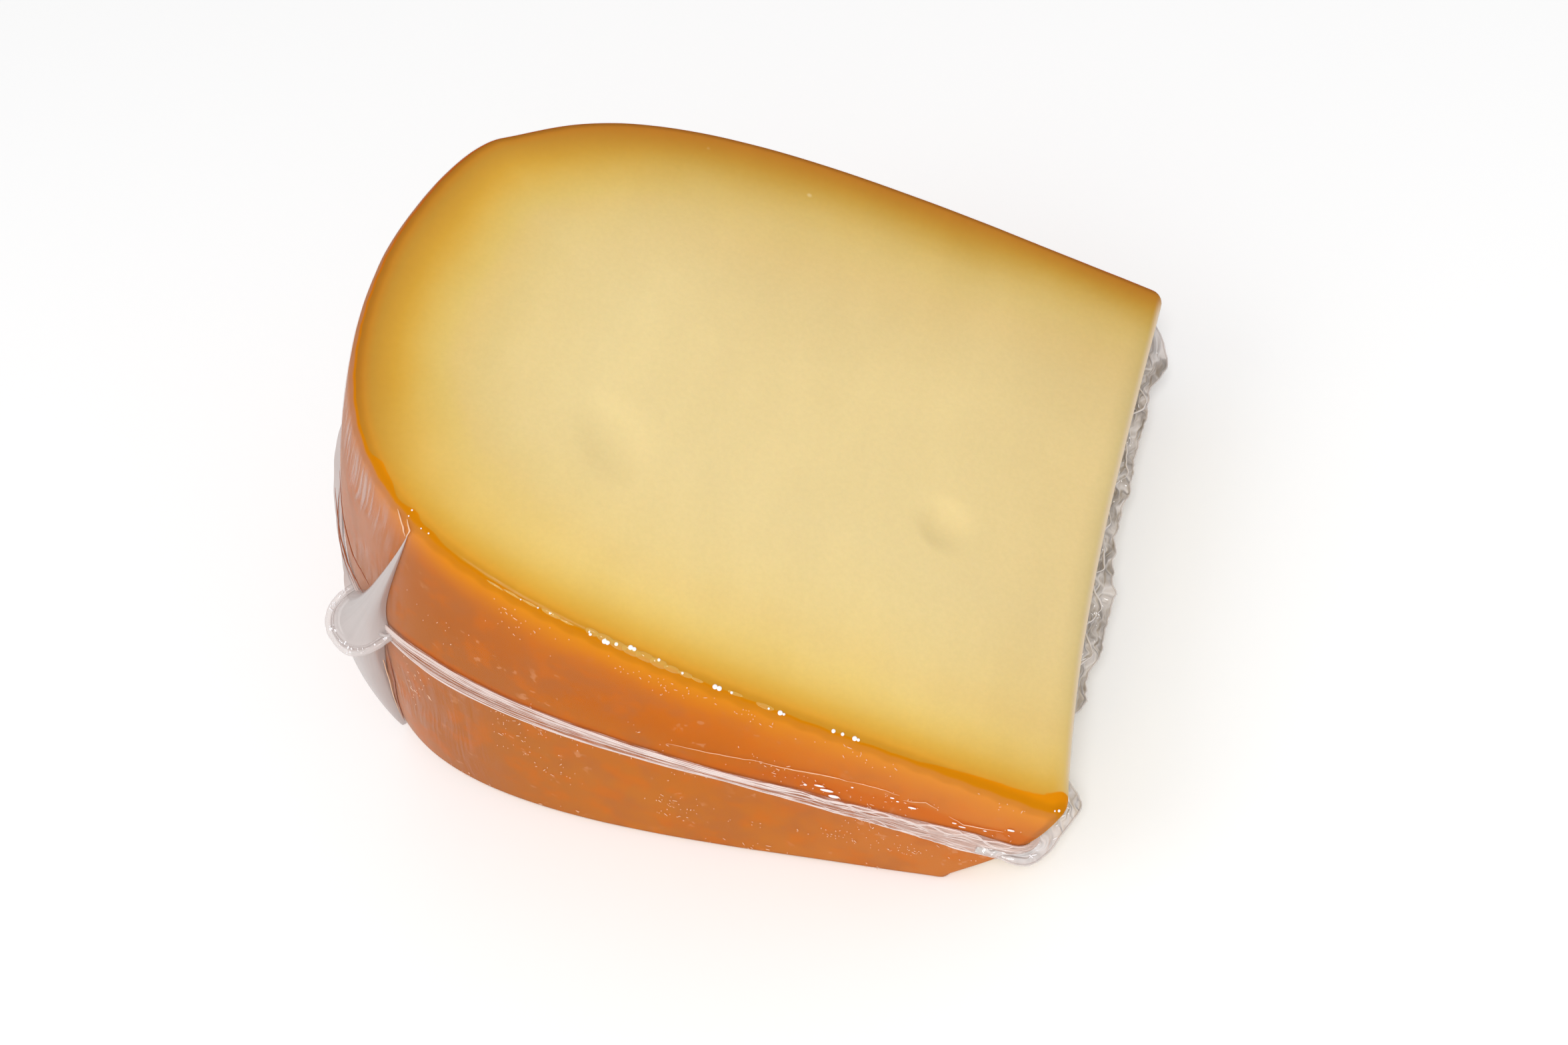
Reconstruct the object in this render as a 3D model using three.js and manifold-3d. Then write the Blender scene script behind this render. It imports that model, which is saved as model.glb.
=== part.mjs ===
// A wedge of semi-hard cheese with an orange rind, tight in clear shrink film.
// The wedge was cut from a low round wheel and its sharp tip was cut off. It lies on one cut face.
// Millimetres, +Z up. The wheel's own axis runs along Y; the rind's rim faces -X, the narrow end +X.
import * as THREE from 'three';
import { mergeVertices } from 'three/addons/utils/BufferGeometryUtils.js';
import Module from 'manifold-3d';

const wasm = await Module();
wasm.setup();

// The wheel and the wedge
const WHEEL_RADIUS = 193.5;
const WHEEL_HEIGHT = 112;
const WEDGE_ANGLE = THREE.MathUtils.degToRad(26.1);
const EDGE_ROUNDING = 2.4;
const CORNER_ROUNDING = 4.5;
const BACK_CORNER_ROUNDING = 2.8;

// The wheel's side: the front face stays flat to FRONT_FLAT from the wheel's axis, the back face to BACK_FLAT.
// Between them the side is a full round, a little flattened where the wheel stood on its back face.
const FRONT_FLAT = 102.7;
const BACK_FLAT = 93.1;
const FRONT_FULLNESS = [61.6, 49.9];
const BACK_FULLNESS = [72.3, 14.2];
const WIDEST_AT = -1.4;
const SHOULDER = [183.6, 32.4];
const SHOULDER_SLOPE = THREE.MathUtils.degToRad(39.2);
const SHOULDER_FULLNESS = [7.3, 8.5];

// The narrow end: its distance from the wheel's axis under the upper face, how far it slants in below, and
// how far it is hollowed, a little more towards the front
const NARROW_END = 61.5;
const NARROW_END_SLANT = 15.5;
const NARROW_END_ROUNDNESS = 1.8;
const NARROW_END_HOLLOW = 2.8;
const NARROW_END_HOLLOW_LEAN = 0.5;

// Eye dimples in the upper cut face: place from the wheel's axis and along it, size across, length and depth
const DIMPLES = [
  { from: 148.4, along: -18.7, across: 10, length: 15, depth: 0.9, turn: 0.6 },
  { from: 92.4, along: -11.3, across: 8.5, length: 9.5, depth: 1.3, turn: 0 },
];

// The film's seam: it runs round the wedge half way up, clear of the cheese by FILM_GAP.
// at is the distance round the outline from the front corner of the narrow end, reach is how far the
// seam stands out, and half is half its height where it leaves the cheese. It is pressed flat on the
// front and back faces, stands out a little round the rim and is crumpled along the narrow end.
const FILM_GAP = 0.3;
const SEAM_STEP = 2.2;
const SEAM_SHARE_AT_END = 0.475;
const SEAM_SHARE_AT_RIM = 0.52;
const SEAM = [
  { at: -6, reach: 5.8, half: 1.6 },
  { at: 2, reach: 3, half: 2.4 },
  { at: 10, reach: 1.7, half: 3.0 },
  { at: 22, reach: 1.4, half: 2.3 },
  { at: 50, reach: 1.1, half: 1.8 },
  { at: 76, reach: 1.1, half: 2.7 },
  { at: 105, reach: 1.2, half: 3.3 },
  { at: 128, reach: 1.4, half: 1.0 },
  { at: 165, reach: 2.6, half: 0.8 },
  { at: 205, reach: 1.6, half: 1.0 },
  { at: 229, reach: 1.2, half: 3.0 },
  { at: 279, reach: 1.1, half: 2.0 },
  { at: 313, reach: 1.8, half: 2.6 },
  { at: 325, reach: 4.0, half: 2.0 },
  { at: 346, reach: 8.4, half: 1.5 },
  { at: 376, reach: 9.2, half: 1.4 },
  { at: 392, reach: 9.6, half: 1.3 },
  { at: 408, reach: 7.0, half: 1.3 },
  { at: 416, reach: 5.6, half: 1.4 },
];

// Round ears where the seam's spare film gathers at the corners of the pack. reach is added to the seam's
// own over half a width to each side, and droop is how far the outer edge hangs.
const EARS = [
  { at: -9, width: 13, reach: 3.8, droop: 0 },
  { at: 119, width: 16, reach: 6.6, droop: 3 },
  { at: 211, width: 14, reach: 5.4, droop: 2.4 },
  { at: 335, width: 15, reach: 4.2, droop: 0 },
];
const EAR_HALF = 1.1;

// Crumples of the seam along the narrow end
const CRUMPLE_SEED = 7;
const CRUMPLE_HEIGHT = 1.3;
const CRUMPLE_REACH = 0.8;

// Upright webs of film that run from each ear at the rim to the upper and the lower cut edge.
// foot is where a web stands on the outline at the lower edge, and lean how far it moves by the upper edge.
const WEBS = [
  { foot: 122.6, lean: -11.6, reach: 6 },
  { foot: 210, lean: 4, reach: 5 },
];
const WEB_THICKNESS = 0.9;
const WEB_EDGE = 0.5;
const WEB_FLOOR_GAP = 1.6;
const UPPER_WEB_SWEEP = 2;
const LOWER_WEB_SWEEP = 1.2;
const WEB_STEPS = 8;

const OUTLINE_POINTS = 112;
const SIDE_STEPS = 9;
const ROUNDING_STEPS = 3;

// How wide the narrow end cuts in at a share of the wedge's angle, 0 at the lower face and 1 at the upper
function narrowEndAt(share) {
  return NARROW_END + NARROW_END_SLANT * Math.pow(Math.max(0, 1 - share), NARROW_END_ROUNDNESS);
}

// Half of the wheel's section as one closed curve, x = distance from the wheel's axis, y = along it
function sectionCurve() {
  const half = WHEEL_HEIGHT / 2;
  const [kneeX, kneeY] = SHOULDER;
  const slopeX = -Math.cos(SHOULDER_SLOPE);
  const slopeY = Math.sin(SHOULDER_SLOPE);
  const section = new THREE.Path();
  section.moveTo(NARROW_END, 0);
  section.lineTo(NARROW_END, CORNER_ROUNDING - half);
  section.absarc(NARROW_END + CORNER_ROUNDING, CORNER_ROUNDING - half, CORNER_ROUNDING, Math.PI, 1.5 * Math.PI);
  section.lineTo(FRONT_FLAT, -half);
  section.bezierCurveTo(
    FRONT_FLAT + FRONT_FULLNESS[0], -half,
    WHEEL_RADIUS, WIDEST_AT - FRONT_FULLNESS[1],
    WHEEL_RADIUS, WIDEST_AT,
  );
  section.bezierCurveTo(
    WHEEL_RADIUS, WIDEST_AT + SHOULDER_FULLNESS[0],
    kneeX - slopeX * SHOULDER_FULLNESS[1], kneeY - slopeY * SHOULDER_FULLNESS[1],
    kneeX, kneeY,
  );
  section.bezierCurveTo(
    kneeX + slopeX * BACK_FULLNESS[1], kneeY + slopeY * BACK_FULLNESS[1],
    BACK_FLAT + BACK_FULLNESS[0], half,
    BACK_FLAT, half,
  );
  const backCorner = [NARROW_END + BACK_CORNER_ROUNDING, half - BACK_CORNER_ROUNDING];
  section.lineTo(backCorner[0], half);
  section.absarc(...backCorner, BACK_CORNER_ROUNDING, 0.5 * Math.PI, Math.PI);
  section.lineTo(NARROW_END, 0);
  return section;
}

const SECTION = sectionCurve();
const SECTION_LENGTH = SECTION.getLength();
const FRONT_CORNER = (WHEEL_HEIGHT / 2 + CORNER_ROUNDING * (Math.PI / 4 - 1)) / SECTION_LENGTH;

// A point of the section and its outward normal, at a share of the way round it and of the wedge's angle.
// The flat stretches by the narrow end take up the end's slant and its hollow.
function sectionAt(way, share) {
  const along = ((way % 1) + 1) % 1;
  const here = SECTION.getPointAt(along);
  const tangent = SECTION.getTangentAt(along);
  const nearness = THREE.MathUtils.clamp((FRONT_FLAT - here.x) / (FRONT_FLAT - NARROW_END), 0, 1);
  const acrossEnd = (2 * here.y) / WHEEL_HEIGHT;
  const hollow = NARROW_END_HOLLOW * (1 - acrossEnd * acrossEnd) * (1 - NARROW_END_HOLLOW_LEAN * acrossEnd);
  const pushed = here.x + nearness * (narrowEndAt(share) - NARROW_END + hollow * nearness);
  return { from: pushed, y: here.y, outX: tangent.y, outY: -tangent.x };
}

// Turns a distance from the wheel's axis, a place along it and an angle into x, y, z
function turned(from, y, angle) {
  return new THREE.Vector3(-from * Math.cos(angle), y, from * Math.sin(angle));
}

// A closed body from rings of equal length, each joined to the next, with a fan over each end
function skinRings(rings) {
  const count = rings[0].length;
  const points = rings.flat();
  const triangles = [];
  for (let ring = 0; ring + 1 < rings.length; ring += 1) {
    for (let i = 0; i < count; i += 1) {
      const next = (i + 1) % count;
      const a = ring * count + i;
      const b = ring * count + next;
      triangles.push([a, b, b + count], [a, b + count, a + count]);
    }
  }
  const first = points.length;
  const last = first + 1;
  const lastRing = (rings.length - 1) * count;
  points.push(middleOf(rings[0]), middleOf(rings.at(-1)));
  for (let i = 0; i < count; i += 1) {
    const next = (i + 1) % count;
    triangles.push([first, next, i], [last, lastRing + i, lastRing + next]);
  }
  return solidFrom(points, triangles);
}

// A closed loop from rings of equal length, where the last ring joins the first
function skinLoop(rings) {
  const count = rings[0].length;
  const triangles = [];
  for (let ring = 0; ring < rings.length; ring += 1) {
    const nextRing = (ring + 1) % rings.length;
    for (let i = 0; i < count; i += 1) {
      const next = (i + 1) % count;
      const a = ring * count + i;
      const b = ring * count + next;
      const c = nextRing * count + next;
      const d = nextRing * count + i;
      triangles.push([a, b, c], [a, c, d]);
    }
  }
  return solidFrom(rings.flat(), triangles);
}

function middleOf(ring) {
  const sum = new THREE.Vector3();
  ring.forEach((point) => sum.add(point));
  return sum.divideScalar(ring.length);
}

// A manifold solid from points and triangles; the triangles are turned round if they face inwards
function solidFrom(points, triangles) {
  let volume = 0;
  for (const [a, b, c] of triangles) {
    volume += points[a].dot(new THREE.Vector3().crossVectors(points[b], points[c]));
  }
  const faces = volume < 0 ? triangles.map(([a, b, c]) => [a, c, b]) : triangles;
  const mesh = new wasm.Mesh({
    numProp: 3,
    vertProperties: new Float32Array(points.flatMap((point) => point.toArray())),
    triVerts: new Uint32Array(faces.flat()),
  });
  return new wasm.Manifold(mesh);
}

// A manifold solid from a three.js geometry
function solidOf(geometry) {
  geometry.deleteAttribute('normal');
  geometry.deleteAttribute('uv');
  const merged = mergeVertices(geometry, 1e-4);
  const mesh = new wasm.Mesh({
    numProp: 3,
    vertProperties: new Float32Array(merged.attributes.position.array),
    triVerts: new Uint32Array(merged.index.array),
  });
  return new wasm.Manifold(mesh);
}

// A three.js geometry from a manifold solid
function geometryOf(solid) {
  const mesh = solid.getMesh();
  const geometry = new THREE.BufferGeometry();
  geometry.setAttribute('position', new THREE.BufferAttribute(mesh.vertProperties, 3));
  geometry.setIndex(new THREE.BufferAttribute(mesh.triVerts, 1));
  geometry.computeVertexNormals();
  return geometry;
}

// One ring of the cheese. height is measured from the nearer cut face, inset draws the ring in
// for the rounded cut edges, and share says how far the ring lies from the lower face to the upper.
function cheeseRing(share, height, inset) {
  const ring = [];
  for (let i = 0; i < OUTLINE_POINTS; i += 1) {
    const here = sectionAt(i / OUTLINE_POINTS, share);
    const from = here.from - inset * here.outX;
    const y = here.y - inset * here.outY;
    const edge = Math.asin(height / from);
    const angle = THREE.MathUtils.lerp(edge, WEDGE_ANGLE - edge, share);
    ring.push(turned(from, y, angle));
  }
  return ring;
}

function cheeseBody() {
  const rings = [];
  for (let step = 0; step < ROUNDING_STEPS; step += 1) {
    const bend = (0.5 * Math.PI * step) / ROUNDING_STEPS;
    rings.push(cheeseRing(0, EDGE_ROUNDING * (1 - Math.cos(bend)), EDGE_ROUNDING * (1 - Math.sin(bend))));
  }
  for (let step = 0; step <= SIDE_STEPS; step += 1) {
    rings.push(cheeseRing(step / SIDE_STEPS, EDGE_ROUNDING, 0));
  }
  for (let step = ROUNDING_STEPS - 1; step >= 0; step -= 1) {
    const bend = (0.5 * Math.PI * step) / ROUNDING_STEPS;
    rings.push(cheeseRing(1, EDGE_ROUNDING * (1 - Math.cos(bend)), EDGE_ROUNDING * (1 - Math.sin(bend))));
  }
  return skinRings(rings);
}

// A ball that leaves a shallow bowl of the dimple's size and depth where it dips into the upper face
function dimpleTool({ from, along, across, length, depth, turn }) {
  const rim = across / 2;
  const radius = (rim * rim + depth * depth) / (2 * depth);
  const ball = new THREE.IcosahedronGeometry(radius, 11);
  ball.scale(1, length / across, 1);
  ball.rotateZ(turn);
  ball.translate(0, 0, radius - depth);
  ball.rotateY(WEDGE_ANGLE);
  const place = turned(from, along, WEDGE_ANGLE);
  ball.translate(place.x, place.y, place.z);
  return solidOf(ball);
}

function makeCheese() {
  let cheese = cheeseBody();
  for (const dimple of DIMPLES) {
    cheese = cheese.subtract(dimpleTool(dimple));
  }
  return cheese;
}

// Where a distance from the front corner of the narrow end lies, as a share of the way round the section
function wayAt(distance) {
  return FRONT_CORNER + distance / SECTION_LENGTH;
}

// A point over the cheese's side: out from its surface by gap, and at an angle of the wedge
function besideCheese(way, angle, gap) {
  const here = sectionAt(way, angle / WEDGE_ANGLE);
  return turned(here.from + gap * here.outX, here.y + gap * here.outY, angle);
}

// A repeatable random number from -1 to 1 for a whole number
function scatter(index) {
  const wave = Math.sin((index + 1) * 12.9898 + CRUMPLE_SEED * 78.233) * 43758.5453;
  return 2 * (wave - Math.floor(wave)) - 1;
}

// The angle of the seam above the lower face, a little lower at the narrow end than round the rim
function seamAngle(from) {
  const share = THREE.MathUtils.mapLinear(from, FRONT_FLAT, NARROW_END, SEAM_SHARE_AT_RIM, SEAM_SHARE_AT_END);
  return WEDGE_ANGLE * Math.min(share, SEAM_SHARE_AT_RIM);
}

// The seam's reach, half height and droop at a distance round the outline, eased between the stated places
function seamAt(distance) {
  const next = SEAM.findIndex((place) => place.at > distance);
  const after = next < 0 ? { ...SEAM[0], at: SEAM[0].at + SECTION_LENGTH } : SEAM[next];
  const before = SEAM.at(next < 0 ? -1 : next - 1);
  const ease = THREE.MathUtils.smoothstep(distance, before.at, after.at);
  let reach = THREE.MathUtils.lerp(before.reach, after.reach, ease);
  let half = THREE.MathUtils.lerp(before.half, after.half, ease);
  let droop = 0;
  for (const ear of EARS) {
    const turns = Math.round((distance - ear.at) / SECTION_LENGTH);
    const away = (2 * (distance - ear.at - turns * SECTION_LENGTH)) / ear.width;
    const swell = Math.sqrt(Math.max(0, 1 - away * away));
    reach += ear.reach * swell;
    half = THREE.MathUtils.lerp(half, EAR_HALF, swell);
    droop += ear.droop * swell;
  }
  return { reach, half, droop };
}

// One ring of the seam: wide on the cheese, thin in the middle, with a bead at its outer edge
function seamRing(index, count) {
  const distance = SEAM[0].at + (SECTION_LENGTH * index) / count;
  const way = wayAt(distance);
  const here = sectionAt(way, SEAM_SHARE_AT_END);
  const { reach, half, droop } = seamAt(distance);
  const crumpled = THREE.MathUtils.clamp((reach - 6) / 2, 0, 1);
  const lift = crumpled * CRUMPLE_HEIGHT * scatter(index) - droop;
  const edge = reach + crumpled * CRUMPLE_REACH * scatter(index + count);
  const steps = [
    { out: 0, half },
    { out: 0.45, half: 0.75 * half },
    { out: 0.85, half: 0.85 * half },
    { out: 1, half: 0.4 * half },
  ];
  const place = ({ out, half: rise }, side) => {
    const angle = seamAngle(here.from) + (lift * out + side * rise) / here.from;
    return besideCheese(way, angle, FILM_GAP + out * edge);
  };
  const upper = steps.map((step) => place(step, 1));
  const lower = steps.toReversed().map((step) => place(step, -1));
  return [...upper, ...lower];
}

// An upright web from the seam to a cut edge: deep at the seam and running out to nothing at its far end
function webBody({ foot, lean, reach }, farAngle, sweep) {
  const rings = [];
  for (let step = 0; step <= WEB_STEPS; step += 1) {
    const angle = THREE.MathUtils.lerp(WEDGE_ANGLE * SEAM_SHARE_AT_RIM, farAngle, step / WEB_STEPS);
    const way = wayAt(foot + (lean * angle) / WEDGE_ANGLE);
    const depth = WEB_EDGE + reach * Math.pow(1 - step / WEB_STEPS, sweep);
    const side = (0.5 * WEB_THICKNESS) / SECTION_LENGTH;
    rings.push([
      besideCheese(way - side, angle, FILM_GAP),
      besideCheese(way - 0.6 * side, angle, FILM_GAP + depth),
      besideCheese(way + 0.6 * side, angle, FILM_GAP + depth),
      besideCheese(way + side, angle, FILM_GAP),
    ]);
  }
  return skinRings(rings);
}

function makeFilmSeam() {
  const count = Math.round(SECTION_LENGTH / SEAM_STEP);
  const rings = Array.from({ length: count }, (_, index) => seamRing(index, count));
  let seam = skinLoop(rings);
  for (const web of WEBS) {
    const upperEnd = WEDGE_ANGLE - EDGE_ROUNDING / WHEEL_RADIUS;
    const lowerEnd = WEB_FLOOR_GAP / WHEEL_RADIUS;
    seam = seam.add(webBody(web, upperEnd, UPPER_WEB_SWEEP)).add(webBody(web, lowerEnd, LOWER_WEB_SWEEP));
  }
  return seam;
}

function namedMesh(name, solid, color, roughness) {
  const material = new THREE.MeshStandardMaterial({ color, roughness, metalness: 0 });
  const mesh = new THREE.Mesh(geometryOf(solid), material);
  mesh.name = name;
  return mesh;
}

const cheese = namedMesh('cheese', makeCheese(), 0xe6bb62, 0.4);
const filmSeam = namedMesh('film_seam', makeFilmSeam(), 0xd8d0cc, 0.15);

// The part's origin is on the ground under the middle of its outline
const wedge = new THREE.Group();
wedge.add(cheese, filmSeam);
const box = new THREE.Box3().setFromObject(wedge);
wedge.position.set(-(box.min.x + box.max.x) / 2, -(box.min.y + box.max.y) / 2, -box.min.z);

export default wedge;
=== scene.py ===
"""A wedge of orange-rinded cheese in clear shrink film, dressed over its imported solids.

Lengths are in millimetres until a mesh is made. The wheel's axis runs along Y; a place on the wedge is
given by its distance round the outline, its angle above the lower cut face and how far it stands out.
"""
import math

import bpy
import numpy as np
from mathutils import Matrix, Vector


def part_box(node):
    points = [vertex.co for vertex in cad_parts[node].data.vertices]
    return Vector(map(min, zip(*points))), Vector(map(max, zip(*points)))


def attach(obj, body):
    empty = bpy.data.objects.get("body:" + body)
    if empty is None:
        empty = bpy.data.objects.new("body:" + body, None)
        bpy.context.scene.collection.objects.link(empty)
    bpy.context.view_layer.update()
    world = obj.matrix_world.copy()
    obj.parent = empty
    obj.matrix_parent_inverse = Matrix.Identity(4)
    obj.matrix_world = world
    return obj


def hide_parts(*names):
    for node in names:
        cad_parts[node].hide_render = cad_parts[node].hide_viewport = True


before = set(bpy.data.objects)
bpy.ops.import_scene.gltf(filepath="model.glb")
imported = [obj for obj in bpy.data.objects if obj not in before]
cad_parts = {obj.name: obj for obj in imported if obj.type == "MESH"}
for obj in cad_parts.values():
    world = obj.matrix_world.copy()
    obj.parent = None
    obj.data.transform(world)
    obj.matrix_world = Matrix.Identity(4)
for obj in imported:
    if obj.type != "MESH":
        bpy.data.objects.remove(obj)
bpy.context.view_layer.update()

MM = 0.001

# The wheel and the wedge, as the solids are built
WHEEL_RADIUS = 193.5
WHEEL_HEIGHT = 112.0
WEDGE_ANGLE = math.radians(26.1)
EDGE_ROUNDING = 2.4
CORNER_ROUNDING = 4.5
BACK_CORNER_ROUNDING = 2.8
FRONT_FLAT = 102.7
BACK_FLAT = 93.1
FRONT_FULLNESS = (61.6, 49.9)
BACK_FULLNESS = (72.3, 14.2)
WIDEST_AT = -1.4
SHOULDER = (183.6, 32.4)
SHOULDER_SLOPE = math.radians(39.2)
SHOULDER_FULLNESS = (7.3, 8.5)
NARROW_END = 61.5
NARROW_END_SLANT = 15.5
NARROW_END_ROUNDNESS = 1.8
NARROW_END_FOOT = 1.3
NARROW_END_BULGE = 11.0
NARROW_END_FULLER = (-50, -20)
NARROW_END_HOLLOW = 2.8
NARROW_END_HOLLOW_LEAN = 0.5

# Eye dimples in the upper cut face: place, size across, length, depth, turn
DIMPLES = (
    dict(spot=(148.4, -18.7), across=13.0, length=19.0, depth=0.9, turn=0.6),
    dict(spot=(92.4, -11.3), across=10.0, length=11.5, depth=1.2, turn=0.0),
)

# Points round the outline, then steps over each cut face, over each rounding and up the side
CHEESE_STEPS = (440, 42, 8, 46)
SKIN_STEPS = (360, 16, 6, 44)
# The rings of a cut face close in on a hub: its place, how their spacing grows and where the last one is
HUB = (124.0, 0.0)
RING_SPACING = 1.15
LAST_RING = 0.985

# The film's seam round the pack: distance round the outline, reach, half its height on the cheese
SEAM_SHARE_AT_END = 0.475
SEAM_SHARE_AT_RIM = 0.52
SEAM = (
    (-6, 5.8, 1.6), (2, 3, 2.4), (10, 1.7, 3.0), (22, 1.4, 2.2), (38, 1.2, 1.9), (52, 1.1, 1.2),
    (76, 1.1, 2.2), (105, 1.2, 2.9), (124, 2.4, 1.0), (128, 1.3, 1.0), (133, 0.9, 1.0), (139, 1.2, 0.9),
    (144, 2.0, 0.8), (150, 2.9, 0.8), (155, 3.6, 0.8), (161, 4.0, 0.8), (172, 3.2, 0.8), (186, 2.2, 0.9),
    (205, 1.6, 1.0), (229, 1.2, 3.0), (279, 1.1, 2.0), (313, 1.8, 2.6), (325, 4.0, 2.0), (346, 8.4, 1.5),
    (376, 9.2, 1.4), (392, 9.6, 1.3), (408, 7.0, 1.3),
)
# How far the cheese lies inside its solid, and how far the seam's film lies off it
FILM_GAP = 0.14
SEAM_GAP = 0.05

# Ridges of gathered film along the seam band: place across the band, thickness, how far they wander
RIDGES = (
    (0.97, 0.12, 0.03), (0.82, 0.13, 0.06), (0.64, 0.1, 0.08), (0.48, 0.11, 0.1), (0.26, 0.07, 0.12),
    (0.0, 0.05, 0.2), (-0.3, 0.06, 0.2), (-0.62, 0.08, 0.12), (-0.84, 0.07, 0.08), (-0.97, 0.12, 0.03),
)

# How a web flares from its tip: how straight, how its middle moves, its width, how its sides bend, and how
# far it lifts off the rind at the tip
UPPER_FLARE = dict(straight=0.5, path=1.5, width=0.9, bend=1.3, lift=0.0)
LOWER_FLARE = dict(straight=1.0, path=1.5, width=0.7, bend=0.8, lift=0.7)

# Ears of spare film: middle, half width, reach and droop of the lobe, then the tips of the upright webs that
# run from it up and down the rind, each as distance round the outline and share of the wedge's angle
FRONT_EAR = dict(middle=119.3, half=5.8, reach=7.9, droop=3.0, upper=(111.5, 0.965), lower=(122.9, 0.006))
BACK_EAR = dict(middle=211.0, half=6.0, reach=6.2, droop=2.4, upper=(215.0, 0.93), lower=(209.0, 0.02))
LOBE_SQUARENESS = 0.8
DROOP_BEND = 1.6
EAR_BUBBLES = 46

# How far along a surface the way of a thing that lies on it is taken
AHEAD = 0.5

# Camera
LENS = 50.0
SENSOR = 36.0
CAMERA_AZIMUTH = math.radians(24.55)
CAMERA_ELEVATION = math.radians(52.14)
CAMERA_ROLL = math.radians(-13.87)
CAMERA_DISTANCE = 381.15
CAMERA_TARGET = (-114.15, -4.78, 26.8)

cheese_low, cheese_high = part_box("cheese")
AXIS_X = cheese_low.x / MM + WHEEL_RADIUS
AXIS_Y = 0.5 * (cheese_low.y + cheese_high.y) / MM


# ---------------------------------------------------------------- shape of the wedge


def bezier(a, b, c, d, steps=160):
    """Points of a cubic curve, without its first point."""
    t = np.linspace(0, 1, steps + 1)[1:, None]
    a, b, c, d = (np.array(point, float) for point in (a, b, c, d))
    return (1 - t) ** 3 * a + 3 * (1 - t) ** 2 * t * b + 3 * (1 - t) * t ** 2 * c + t ** 3 * d


def straight(a, b, steps=60):
    t = np.linspace(0, 1, steps + 1)[1:, None]
    return (1 - t) * np.array(a, float) + t * np.array(b, float)


def arc(centre, radius, start, end, steps=24):
    t = np.linspace(start, end, steps + 1)[1:]
    return np.array(centre) + radius * np.stack([np.cos(t), np.sin(t)], 1)


def section_outline():
    """The wedge's section: x = distance from the wheel's axis, y = along it, from the narrow end's middle."""
    half = WHEEL_HEIGHT / 2
    inner = NARROW_END + CORNER_ROUNDING
    back_inner = NARROW_END + BACK_CORNER_ROUNDING
    knee = np.array(SHOULDER)
    slope = np.array((-math.cos(SHOULDER_SLOPE), math.sin(SHOULDER_SLOPE)))
    parts = [
        np.array([(NARROW_END, 0.0)]),
        straight((NARROW_END, 0), (NARROW_END, CORNER_ROUNDING - half)),
        arc((inner, CORNER_ROUNDING - half), CORNER_ROUNDING, math.pi, 1.5 * math.pi),
        straight((inner, -half), (FRONT_FLAT, -half)),
        bezier(
            (FRONT_FLAT, -half), (FRONT_FLAT + FRONT_FULLNESS[0], -half),
            (WHEEL_RADIUS, WIDEST_AT - FRONT_FULLNESS[1]), (WHEEL_RADIUS, WIDEST_AT),
        ),
        bezier(
            (WHEEL_RADIUS, WIDEST_AT), (WHEEL_RADIUS, WIDEST_AT + SHOULDER_FULLNESS[0]),
            knee - slope * SHOULDER_FULLNESS[1], knee,
        ),
        bezier(
            knee, knee + slope * BACK_FULLNESS[1],
            (BACK_FLAT + BACK_FULLNESS[0], half), (BACK_FLAT, half),
        ),
        straight((BACK_FLAT, half), (back_inner, half)),
        arc((back_inner, half - BACK_CORNER_ROUNDING), BACK_CORNER_ROUNDING, 0.5 * math.pi, math.pi),
        straight((NARROW_END, half - BACK_CORNER_ROUNDING), (NARROW_END, 0)),
    ]
    return np.concatenate(parts)


SECTION = section_outline()
SECTION_STEPS = np.linalg.norm(np.diff(SECTION, axis=0), axis=1)
SECTION_AT = np.concatenate([[0], np.cumsum(SECTION_STEPS)])
SECTION_LENGTH = SECTION_AT[-1]
SECTION_WAY = np.gradient(SECTION, SECTION_AT, axis=0)
SECTION_WAY /= np.linalg.norm(SECTION_WAY, axis=1)[:, None]
FRONT_CORNER = WHEEL_HEIGHT / 2 + CORNER_ROUNDING * (math.pi / 4 - 1)
RIND_LENGTH = SECTION_LENGTH - 2 * FRONT_CORNER


def end_hollow(y):
    """How far the narrow end is hollowed at its upper edge."""
    across = 2 * y / WHEEL_HEIGHT
    return NARROW_END_HOLLOW * (1 - across ** 2) * (1 - NARROW_END_HOLLOW_LEAN * across)


def section_at(distance, share):
    """Place on the section and its outward normal, with the narrow end's slant and hollow."""
    along = np.mod(FRONT_CORNER + np.asarray(distance, float), SECTION_LENGTH)
    x, y = (np.interp(along, SECTION_AT, SECTION[:, i]) for i in (0, 1))
    way_x, way_y = (np.interp(along, SECTION_AT, SECTION_WAY[:, i]) for i in (0, 1))
    nearness = np.clip((FRONT_FLAT - x) / (FRONT_FLAT - NARROW_END), 0, 1)
    down = np.clip(1 - np.asarray(share, float), 0, None)
    slant = NARROW_END_SLANT * down ** NARROW_END_ROUNDNESS
    fuller = NARROW_END_FOOT * down + NARROW_END_BULGE * share * down ** 2
    fuller = fuller * (1 - ease(y, *NARROW_END_FULLER))
    return x + nearness * (slant + (end_hollow(y) - fuller) * nearness), y, way_y, -way_x


def turned(from_axis, y, angle):
    """Millimetre places in the part's frame from wheel coordinates."""
    from_axis, y, angle = np.broadcast_arrays(from_axis, y, angle)
    return np.stack([
        AXIS_X - from_axis * np.cos(angle),
        AXIS_Y + y,
        from_axis * np.sin(angle),
    ], -1)


def beside(distance, angle, out):
    """Places over the cheese's side, out from its surface."""
    x, y, out_x, out_y = section_at(distance, np.asarray(angle) / WEDGE_ANGLE)
    return turned(x + out * out_x, y + out * out_y, angle)


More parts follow.
